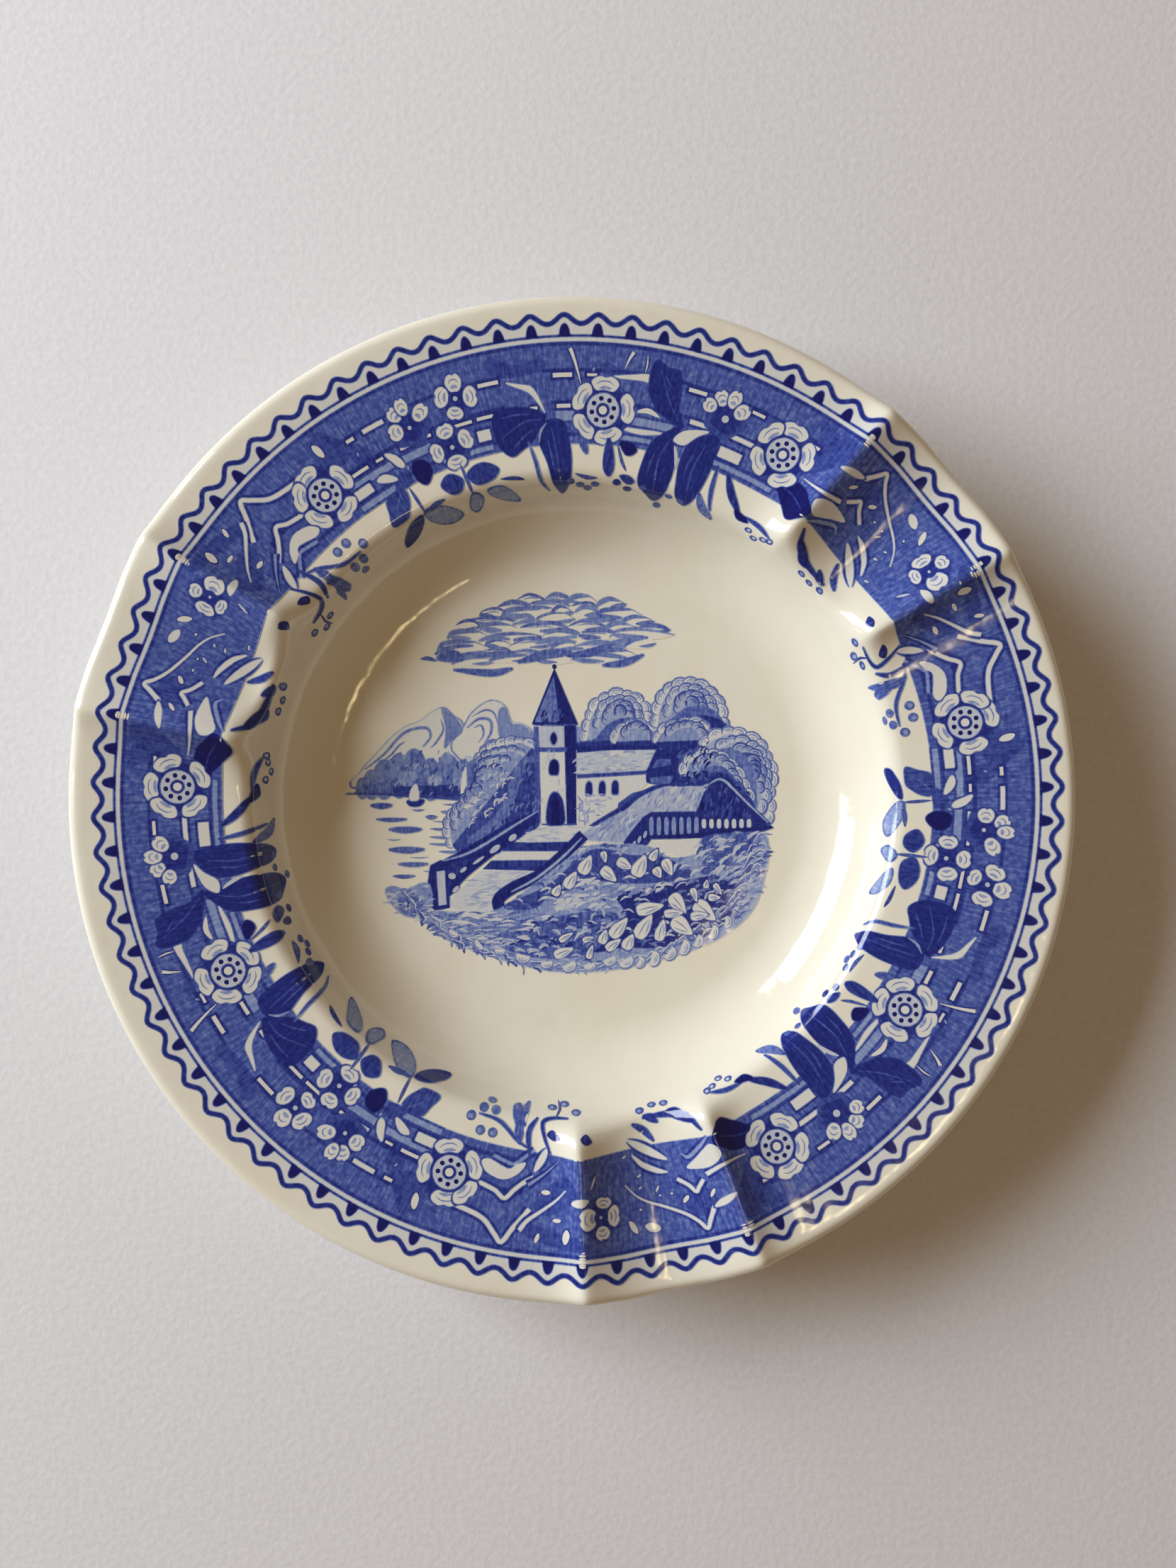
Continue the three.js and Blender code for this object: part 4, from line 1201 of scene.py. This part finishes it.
# %% [markdown]
# ## Cottage
# A low cottage with a thatched roof closes the scene on the right. The thatch is a pale shape
# with many short strokes that run down the slope, and the timber wall is a dark shape with a row
# of pale boards.

# %% Cottage
for outline, ink in (([(9.6, -0.6), (12, 0.8), (13.6, 1.8), (20.9, 1.9), (21.8, 2.2), (20.4, -0.2),
                       (19.5, -2.1), (12.4, -2.3), (9.6, -1.6)], 0.2),
                     ([(7, -1.6), (9.2, -0.4), (11.4, 1.4), (9.4, 0.8), (7.2, -0.8)], 0.7),
                     ([(2.8, -4.2), (6.6, -2), (9.6, -1.1), (12.6, -1.9), (10.6, -3.4), (8.6, -5.9),
                       (7.8, -7), (1.8, -6.6), (0.6, -5.6)], 0.24)):
    sharp(outline, ink)
scatter([(11, 0), (14, 1.5), (21, 1.6), (19.4, -1.7), (12.4, -1.9)], 66, 1.4, 62,
        [0.1, 0.16, 0.3, 0.36], 0.28, 0.04)
scatter([(3.4, -4.2), (7, -2.4), (10, -2), (8.4, -5.6), (2.6, -6)], 50, 1.4, 52, [0.12, 0.3, 0.36],
        0.28, 0.04)
view.line([(0.2, -6.2), (3, -4.3), (6.4, -2.3), (8.4, -1.2), (10, 0.2), (12.4, 1.5), (15, 2.2),
           (20.6, 2.1)], 0.7, 0.8, None, "both", 6)
sharp([(20.9, 1.2), (22.4, 2.7), (23.6, 2.9), (25, 1.8), (31.2, -4.1), (20.2, -3.0), (19.5, -2.2)],
      0.86)
scatter([(21.2, 0.8), (23.4, 2.4), (28.6, -3), (20.4, -2.8)], 60, 1.6, 82, [0.66, 0.74, 0.98], 0.3,
        0.03)
view.line([(20.9, 1.7), (22.6, 2.95), (23.9, 2.9), (25.2, 1.8), (28, -1.2), (31.2, -4.0)], 0.9, 0.9,
          None, "both", 6)
view.line([(21, 1.9), (22.8, 3.0), (24, 2.8), (25.4, 1.5), (28, -1.1), (30.9, -3.8)], 0.32, 0.22,
          None, "both", 6)
sharp([(8, -6.9), (9.6, -4.8), (11.2, -2.9), (12.4, -2.2), (19.8, -2.1), (20.4, -3), (31, -4.1),
       (31.8, -4.6), (29, -5.6), (20.4, -6.3), (12.4, -6.4), (10.4, -9), (8.4, -9.4)], 0.86)
for k in range(14):
    x = 12.4 + 1.19 * k
    top, low = (-3.2, -5.6) if k < 7 else (-3.4, -4.6)
    view.outlined([(x - 0.28, low), (x - 0.3, top), (x + 0.28, top + 0.05), (x + 0.3, low)],
                  0.34 if k < 7 else 0.1, 0.9, 0.12, None, 3)
view.line([(11.6, -6.1), (16, -6.0), (20.4, -5.7), (26, -5.0), (31.6, -4.6)], 0.5, 0.94, None,
          "both", 6)
sharp([(12.2, -6.9), (20.1, -6.4), (20.1, -9.6), (17.6, -9.6), (15.4, -8.6), (12.6, -8)], 0.06)
for x, y, angle in ((8.8, -8.1, 60), (9.6, -7.3, 70), (10.5, -6.5, 72), (11.4, -5.7, 72)):
    view.blob(oval(0.62, 0.26, 8), 0.22, place_at((x, y), angle), 3)
print("cottage:", len(view.shapes), "shapes so far")

# %% [markdown]
# ## Steps and walls
# A flight of broad steps between two walls leads the eye to the door. Each step is a pale tread
# over a dark riser, and a thin pale line along each wall's top makes it look solid.

# %% Steps and walls
sharp([(-9.2, -6.9), (-7.4, -5.6), (-5.2, -4.5), (1.4, -4.3), (3.2, -4.4), (1, -5.8), (-0.8, -6.9)],
      0.08)
sharp([(-10.6, -7.1), (-0.4, -6.9), (-2, -8.4), (-11.2, -8.4)], 0.82)
sharp([(-12.6, -9.8), (-11.3, -8.4), (-2.2, -8.4), (-3.8, -9.8)], 0.07)
sharp([(-13, -9.9), (-3.6, -9.8), (-5.6, -11.6), (-14.4, -11.2)], 0.8)
sharp([(-20, -17.2), (-18.4, -14.8), (-14.6, -11.4), (-9, -11.4), (-5.6, -11.5), (-8.8, -13.4),
       (-11.2, -14.8), (-12, -16.2), (-11.9, -18), (-17.6, -17.8)], 0.09)
scatter([(-18.4, -16.6), (-14.6, -12.2), (-8, -12), (-12, -15.6), (-13, -17.2)], 50, 2.0, 8,
        [0.14, 0.2, 0.26], 0.2, 0.04)
scatter([(-8.6, -6.6), (-5, -4.8), (1.6, -4.6), (-0.8, -6.6)], 26, 1.8, 3, [0.13, 0.2], 0.2, 0.03)
sharp([(-5.6, -2.0), (-9, -4.2), (-17, -8.8), (-20.8, -10.2), (-19.8, -15.6), (-16, -11.4),
       (-10.6, -7.0), (-7.2, -4.6), (-5.4, -3.8)], 0.82)
for track, width, ink, tip in (
        ([(-5.6, -2.2), (-9, -4.2), (-13, -6.6), (-17, -8.8), (-21, -10.3)], 1.9, 0.88, "both"),
        ([(-6, -3.4), (-10, -6.2), (-14, -9), (-17.4, -12), (-19.8, -15.4)], 1.7, 0.9, "both"),
        ([(-5.6, -2.0), (-9.2, -4.2), (-13.6, -7.0), (-17, -8.8), (-20.6, -9.9)], 0.34, 0.24,
         "both"),
        ([(1.6, -5.8), (-1.6, -9), (-5.4, -12.2), (-9.6, -14.2), (-11.8, -16), (-11.6, -17.8)], 1.8,
         0.92, "round"),
        ([(1.4, -6.2), (-1.8, -9.4), (-5.8, -12.6), (-9.8, -14.8)], 0.36, 0.22, "both")):
    view.line(track, width, ink, None, tip, 7)
sharp([(-22.6, -10.6), (-21, -9.8), (-19.8, -10.4), (-19.6, -17.3), (-22, -17.8), (-23.6, -17)],
      0.88)
sharp([(-21.6, -11.6), (-20.4, -11.4), (-20.1, -16.8), (-21.3, -17)], 0.14)
for x, y, length, width, angle in ((-9.6, -6.2, 1.5, 0.9, 40), (-12.4, -8.0, 2.0, 0.9, 38),
                                   (-15, -9.8, 2.2, 0.5, 35), (-17.4, -11.3, 1.3, 0.6, 38),
                                   (-19.2, -12.3, 1.0, 1.2, 80), (-18.6, -14.4, 1.4, 0.7, 45)):
    view.outlined(oval(length / 2, width / 2, 8), 0.16, 0.9, 0.12, place_at((x, y), angle), 3)
print("steps:", len(view.shapes), "shapes so far")

# %% [markdown]
# ## Plants in front
# The ground in front is a pale bank with darker patches and several hundred short strokes, which
# is how an engraver fills grass. White leaves with a dark edge stand on the darkest patches, and
# loose curls along the bottom close the oval.

# %% Plants in front
bank = [(-12, -17.6), (-6, -13.4), (-1, -9.6), (2, -7.6), (8, -7.2), (12, -7.6), (15.6, -9.4),
        (20, -8.6), (20.6, -6.4), (29.4, -5.4), (31, -8), (30.2, -13), (28.6, -17.4), (25, -21),
        (20, -23.6), (13, -25.8), (5, -27.3), (-3, -27.4), (-9, -26.2), (-15, -24.4), (-20, -22.4),
        (-23.6, -19.6), (-26.6, -17.6), (-22, -17.8), (-17, -18)]
patch(bank, 0.3)
patch([(-29.8, -14.6), (-28.6, -13.9), (-26.4, -14.4), (-24, -13.4), (-22.6, -14), (-22.6, -18),
       (-26, -18.8), (-28.6, -17)], 0.34)
patch([(-27.4, -16), (-25, -15.6), (-23.6, -17), (-25, -18.6), (-27.2, -17.8)], 0.56)
scatter([(-30, -14.6), (-26, -14), (-22.8, -13.8), (-22.6, -18.4), (-28, -18.4)], 50, 1.3, 12,
        [0.2, 0.5, 0.44, 0.14], 0.3)
for outline, ink in (([(-11, -17), (-4, -13.8), (2, -8.6), (6, -8.2), (9, -9), (13, -9), (16, -10),
                       (19, -12), (15, -13.2), (8, -13.4), (2, -13), (-3, -15.6), (-7, -17.6)],
                      0.72),
                     ([(7, -15.4), (12, -14.2), (18, -13), (23, -12.4), (26, -14.6), (24.6, -19),
                       (20.6, -22), (14, -23.6), (8, -23.6), (3, -24.2), (4, -20.4), (8.4, -18.6)],
                      0.86),
                     ([(-12, -21.6), (-5, -19.4), (2, -18), (7, -18.4), (6, -22), (1, -25),
                       (-6, -25.2), (-11.6, -23.4)], 0.6),
                     ([(21, -6), (29, -5.6), (28.6, -8.6), (25, -10.4), (20.6, -12), (20.8, -9)],
                      0.62)):
    patch(outline, ink)


def bank_way(x, y):
    """Grass leans along the oval's edge and lies flatter in the middle."""
    edge_way = math.degrees(math.atan2(x * 0.62, -y * 1.25))
    return edge_way * 0.6


scatter(bank, 350, 1.8, bank_way, [0.12, 0.2, 0.44, 0.5, 0.66], 0.34, 0.2, 22)
scatter([(-24, -18.4), (-10, -18.2), (-4, -17.6), (-8, -22.6), (-16, -24), (-22, -21)], 110, 2.8, 6,
        [0.08, 0.14, 0.46, 0.52], 0.34, 0.08, 9)
scatter([(20.6, -6.6), (30, -6), (29.6, -13), (27, -18), (23, -14), (20, -11)], 120, 1.9, 28,
        [0.14, 0.22, 0.52, 0.7], 0.36, 0.12, 14)
scatter([(-8, -20), (6, -18.6), (5, -22), (-2, -25), (-9, -24)], 90, 1.4, 10,
        [0.2, 0.4, 0.74, 0.84], 0.4, 0.2, 20)
scatter([(-6, -16.4), (0, -12.8), (8, -13.8), (16, -13.6), (9, -16), (0, -17.8)], 90, 1.6, 20,
        [0.1, 0.14, 0.36], 0.4, 0.1, 14)
for k in range(86):
    t = math.radians(-152 + 150 * k / 85)
    x, y = 30.6 * math.cos(t) - 0.2, 21.6 * math.sin(t) - 5.9
    lean = math.degrees(t) + np.interp(x, (-20, 8, 24, 30), (78, 82, 60, 26))
    lean += painter.normal(0, 13)
    size = painter.uniform(1.2, 3.2)
    place = place_at((x * painter.uniform(0.95, 1.01), y + painter.uniform(-0.3, 0.7)), lean)
    view.line([(-size * 0.7, 0), (0, 0.28 * size), (size * 0.5, 0)], painter.uniform(0.3, 0.6),
              float(painter.choice([0.4, 0.5, 0.6])), place, "both", 4)
    view.line([(-size * 0.6, 0.3), (0, 0.28 * size + 0.3), (size * 0.3, 0.3)], 0.22, 0.12, place,
              "both", 4)
for x, y, length, width, angle in (
        (2.0, -10.6, 2.8, 1.7, 62), (-0.4, -13.0, 2.6, 1.5, 58), (-2.6, -14.6, 1.7, 1.2, 60),
        (5.6, -12.0, 2.6, 1.6, -42), (8.1, -10.4, 2.3, 1.4, -30),
        (4.9, -9.2, 1.6, 0.9, -75), (10.6, -10.8, 3.2, 1.9, 66), (13.4, -11.7, 1.6, 1.3, -60),
        (15.0, -10.8, 2.4, 1.4, -64), (12.8, -9.0, 1.8, 1.1, 60),
        (7.2, -20.6, 3.4, 1.7, 50), (11.2, -20.4, 3.8, 1.9, 58), (13.9, -21.0, 3.0, 1.4, 76),
        (17.2, -20.2, 3.4, 2.2, -38), (12.0, -17.4, 3.8, 1.7, 12),
        (16.6, -16.6, 3.2, 1.9, -52), (15.8, -18.2, 2.6, 1.1, 4), (20.8, -17.8, 3.6, 2.2, -40),
        (19.2, -15.2, 2.0, 0.9, -72), (22.3, -15.7, 1.7, 1.0, 0),
        (22.9, -14.3, 1.8, 0.8, -56), (21.1, -13.6, 1.2, 0.8, 80), (6.3, -23.2, 2.4, 1.2, 36),
        (8.8, -22.8, 2.3, 1.5, 62), (4.8, -22.0, 2.0, 1.2, 70),
        (2.7, -24.4, 2.0, 0.9, 72), (-1.2, -22.0, 2.2, 0.9, 32), (2.3, -22.3, 1.6, 0.8, 20),
        (-1.6, -24.4, 2.8, 1.3, 22), (19.9, -18.6, 2.4, 1.2, 8),
        (21.0, -20.1, 1.2, 0.4, -14)):
    white_leaf(x, y, length * 1.12, width * 1.15, angle)
for x, y, size in ((8.4, -25.9, 1.3), (10.6, -26.0, 1.0), (12.8, -25.4, 1.3), (15.4, -24.6, 1.2),
                   (5.8, -25.7, 1.1), (17.6, -23.6, 1.3), (19.8, -22.6, 1.1), (22.2, -21.2, 1.2),
                   (24.4, -19.6, 1.0), (2.6, -26.6, 1.0), (-0.6, -26.6, 1.2), (-4.2, -26.2, 1.0),
                   (-8.0, -25.2, 1.2), (-11.6, -24.2, 0.9), (-15.0, -23.2, 1.0),
                   (-19.0, -21.4, 0.9)):
    curl(x, y, size, math.degrees(math.atan2(y + 5.9, x)) - 70 + painter.normal(0, 18), 0.07, 0.42)
print("scene:", len(view.shapes), "shapes")

# %% [markdown]
# ## The scene laid in the well
# The page is cut and laid in the same way as the border. It needs no rolling, because the floor
# is flat.

# %% The scene laid in the well
CORNER = 36  # mm: outside the scene on every side
scene, triangles, ink = cut(view.shapes,
                            [(CORNER, CORNER), (-CORNER, CORNER), (-CORNER, -CORNER),
                             (CORNER, -CORNER)])
prints.append(transfer("centre_transfer", scene, scene, triangles, ink, "centre_print",
                       scene))
print("sheets on the glaze:", len(prints))

# %% [markdown]
# ## Glaze and ink
# Ink under glaze has no surface of its own: the same clear glaze lies over the cream clay and
# over the blue. So both materials share one glossy finish, and only the colour under it differs.
# The glaze pools and thins, which shows as faint waves in the reflections and small changes of
# gloss. The blue is read from the ink on each face. Noise along the page's own directions makes
# it streaky, as ink wiped across a plate is, and a colour ramp turns its depth into cobalt.

# %% Colours and nodes
def to_light(value):
    """One channel of a mixed colour, 0 to 255, as the light value that Blender uses."""
    return value / 255 / 12.92 if value <= 10 else ((value / 255 + 0.055) / 1.055) ** 2.4


def from_srgb(*channels):
    """A colour as a painter mixes it."""
    return tuple(to_light(v) for v in channels) + (1.0,)


def add(tree, kind, links=(), **values):
    """A node with its settings and socket values, and links (socket, from node, output)."""
    made = tree.nodes.new(kind)
    for name, value in values.items():
        socket = name.replace("_", " ")
        if socket in made.inputs:
            made.inputs[socket].default_value = value
        else:
            setattr(made, name, value)
    for socket, source, output in links:
        tree.links.new(source.outputs[output], made.inputs[socket])
    return made


def ramp(tree, source, output, stops):
    """A colour ramp over an output, with stops of (place, colour)."""
    made = add(tree, "ShaderNodeValToRGB", [("Fac", source, output)])
    steps = made.color_ramp.elements
    while len(steps) < len(stops):
        steps.new(0.5)
    for step, (place, colour) in zip(steps, stops):
        step.position, step.color = place, colour
    return made


def grey(value):
    """A plain grey, for a ramp that holds a number."""
    return (value, value, value, 1)


def material(name):
    """An empty material and its node tree."""
    made = bpy.data.materials.new(name)
    made.use_nodes = True
    made.node_tree.nodes.clear()
    return made, made.node_tree


def millimetres(tree):
    """The piece's own coordinates in millimetres, so that a noise's Scale is per millimetre."""
    where = add(tree, "ShaderNodeTexCoord")
    return add(tree, "ShaderNodeMapping", [("Vector", where, "Object")], Scale=(1000, 1000, 1000))


GLAZE_CREAM = from_srgb(239, 234, 216)
print("glaze:", [round(v, 3) for v in GLAZE_CREAM])

# %% [markdown]
# ## The ivory glaze
# A clear lead glaze over pale clay is as smooth as glass but never quite flat. A noise in Bump
# gives the waves, and a second noise moves the gloss a little up and down. The clay's own colour
# drifts between two creams.

# %% Ivory glaze on the clay
GLAZE_IOR = 1.52
GLOSSIEST, DULLEST = 0.05, 0.13


def glazed(tree, colour_node, colour_output, mm):
    """A clear lead glaze over the colour: glossy, with faint waves that break up the lights."""
    wave = add(tree, "ShaderNodeTexNoise", [("Vector", mm, "Vector")], Scale=0.16, Detail=2.0,
               Roughness=0.45)
    ripple = add(tree, "ShaderNodeBump", [("Height", wave, "Fac")], Strength=0.10, Distance=0.0012)
    patches = add(tree, "ShaderNodeTexNoise", [("Vector", mm, "Vector")], Scale=0.5, Detail=4.0)
    gloss = add(tree, "ShaderNodeMapRange", [("Value", patches, "Fac")], To_Min=GLOSSIEST,
                To_Max=DULLEST)
    shader = add(tree, "ShaderNodeBsdfPrincipled", [
        ("Base Color", colour_node, colour_output), ("Normal", ripple, "Normal"),
        ("Roughness", gloss, "Result")], IOR=GLAZE_IOR)
    add(tree, "ShaderNodeOutputMaterial", [("Surface", shader, "BSDF")])


cream, tree = material("ivory_glaze")
mm = millimetres(tree)
cloudy = add(tree, "ShaderNodeTexNoise", [("Vector", mm, "Vector")], Scale=0.06, Detail=5.0)
tint = ramp(tree, cloudy, "Fac", [(0.3, from_srgb(241, 237, 221)), (0.7, from_srgb(237, 231, 212))])
glazed(tree, tint, "Color", mm)
clay_mesh.materials.append(cream)
print(cream.name, "has", len(tree.nodes), "nodes")

# %% [markdown]
# ## The cobalt ink
# The depth of blue comes from the ink on each face. Two noises on the page's own map vary it: long
# ones that run round the border, as the ink was wiped, and a fine mottle. They count most in the
# middle tones, since bare glaze has no ink to vary and the deepest blue is full.

# %% Cobalt ink of the transfers
cobalt, tree = material("cobalt_ink")
mm = millimetres(tree)
density = add(tree, "ShaderNodeAttribute", attribute_name="ink")
page_map = add(tree, "ShaderNodeUVMap", uv_map="grain")
wiped_map = add(tree, "ShaderNodeMapping", [("Vector", page_map, "UV")], Scale=(2.6, 0.35, 1))
wiped = add(tree, "ShaderNodeTexNoise", [("Vector", wiped_map, "Vector")], Scale=1.0, Detail=4.0)
mottle = add(tree, "ShaderNodeTexNoise", [("Vector", page_map, "UV")], Scale=1.4, Detail=5.0)
both = add(tree, "ShaderNodeMath", [(0, wiped, "Fac"), (1, mottle, "Fac")], operation="ADD")
centred = add(tree, "ShaderNodeMath", [(0, both, "Value")], operation="SUBTRACT")
centred.inputs[1].default_value = 1.0  # two noises of about a half each
weight = ramp(tree, density, "Fac",
              [(0.0, grey(0)), (0.1, grey(0.08)), (0.6, grey(0.6)), (0.85, grey(0.35)),
               (1.0, grey(0.25))])
varied = add(tree, "ShaderNodeMath",
             [(0, centred, "Value"), (1, weight, "Color"), (2, density, "Fac")],
             operation="MULTIPLY_ADD")
blue = ramp(tree, varied, "Value", [
    (0.0, GLAZE_CREAM), (0.12, from_srgb(200, 206, 216)), (0.32, from_srgb(136, 154, 202)),
    (0.6, from_srgb(74, 94, 172)), (0.84, from_srgb(33, 48, 134)), (1.0, from_srgb(16, 22, 98))])
glazed(tree, blue, "Color", mm)
for sheet in prints:
    sheet.data.materials.append(cobalt)
print(cobalt.name, "is on", len(prints), "sheets")

# %% [markdown]
# ## The paper
# The plate lies on plain white paper, a large flat square with a faint fibre in its colour and
# its bump. It is staged, not part of the plate.

# %% Paper under the plate
PAPER_REACH = 1.5  # metres to each side
table = bmesh.new()
bmesh.ops.create_grid(table, x_segments=1, y_segments=1, size=PAPER_REACH)
table_mesh = bpy.data.meshes.new("paper")
table.to_mesh(table_mesh)
table.free()

paper, tree = material("white_paper")
mm = millimetres(tree)
fibre = add(tree, "ShaderNodeTexNoise", [("Vector", mm, "Vector")], Scale=0.9, Detail=6.0)
shade = ramp(tree, fibre, "Fac", [(0.3, from_srgb(226, 226, 230)), (0.7, from_srgb(234, 234, 237))])
grainy = add(tree, "ShaderNodeBump", [("Height", fibre, "Fac")], Strength=0.25, Distance=0.0003)
matt = add(tree, "ShaderNodeBsdfPrincipled",
           [("Base Color", shade, "Color"), ("Normal", grainy, "Normal")], Roughness=0.9)
add(tree, "ShaderNodeOutputMaterial", [("Surface", matt, "BSDF")])
table_mesh.materials.append(paper)
floor = bpy.data.objects.new("paper", table_mesh)
bpy.context.collection.objects.link(floor)
print("paper:", 2 * PAPER_REACH, "m wide")

# %% [markdown]
# ## The light
# A cool window stands low on the left and gives the shading and the long soft shadow. A little
# warm light comes from the whole room, and three small warm lamps high up show in the glaze as
# bright arcs. A larger window would be softer, but its reflection would fill the well.

# %% Window, lamps and room
WINDOW_PLACE, WINDOW_SIZE = (-0.80, 0.31, 0.47), (0.62, 0.46)
WINDOW_POWER, WINDOW_COLOUR = 12.2, (0.88, 0.94, 1.0)
LAMP_PLACES = ((0.46, -0.50), (0.62, -0.36), (0.34, -0.66))
LAMP_HEIGHT, LAMP_SIZE = 3.0, (0.10, 0.2)
LAMP_POWER, LAMP_COLOUR = 1.0, (1.0, 0.80, 0.42)
ROOM_COLOUR, ROOM_STRENGTH = (1.0, 0.66, 0.38, 1), 0.19


def soft_light(name, place, aim, size, power, colour):
    """A rectangle of light that faces its aim."""
    lamp = bpy.data.lights.new(name, "AREA")
    lamp.shape, (lamp.size, lamp.size_y) = "RECTANGLE", size
    lamp.energy, lamp.color = power, colour
    made = bpy.data.objects.new(name, lamp)
    made.location = place
    made.rotation_euler = (Vector(aim) - Vector(place)).to_track_quat("-Z", "Y").to_euler()
    bpy.context.collection.objects.link(made)
    return made


soft_light("window", WINDOW_PLACE, (0, 0, 0.01), WINDOW_SIZE, WINDOW_POWER, WINDOW_COLOUR)
for k, (x, y) in enumerate(LAMP_PLACES):
    soft_light(f"lamp_{k + 1}", (x, y, LAMP_HEIGHT), (0, 0, 0), LAMP_SIZE, LAMP_POWER, LAMP_COLOUR)

world = bpy.data.worlds.new("room")
world.use_nodes = True
background = world.node_tree.nodes["Background"].inputs
background["Color"].default_value = ROOM_COLOUR
background["Strength"].default_value = ROOM_STRENGTH
bpy.context.scene.world = world
bpy.context.scene.view_settings.view_transform = "Standard"
print("lights: a window and", len(LAMP_PLACES), "lamps")

# %% [markdown]
# ## The camera
# The camera looks straight down from just under 19 cm with a wide lens. So close by, the walls of
# the well lean outwards in the picture and the raised rim looks larger than it would from afar.

# %% Camera
CAMERA_PLACE = (0.00235, 0.0023, 0.186)
LENS_LENGTH, SENSOR_HEIGHT, NEAREST = 25.99, 36, 0.01

lens = bpy.data.cameras.new("camera")
lens.sensor_fit = "VERTICAL"
lens.sensor_height = SENSOR_HEIGHT
lens.lens = LENS_LENGTH
lens.clip_start = NEAREST
camera = bpy.data.objects.new("camera", lens)
camera.location = CAMERA_PLACE
bpy.context.collection.objects.link(camera)
bpy.context.scene.camera = camera
print("camera:", CAMERA_PLACE[2], "m up")
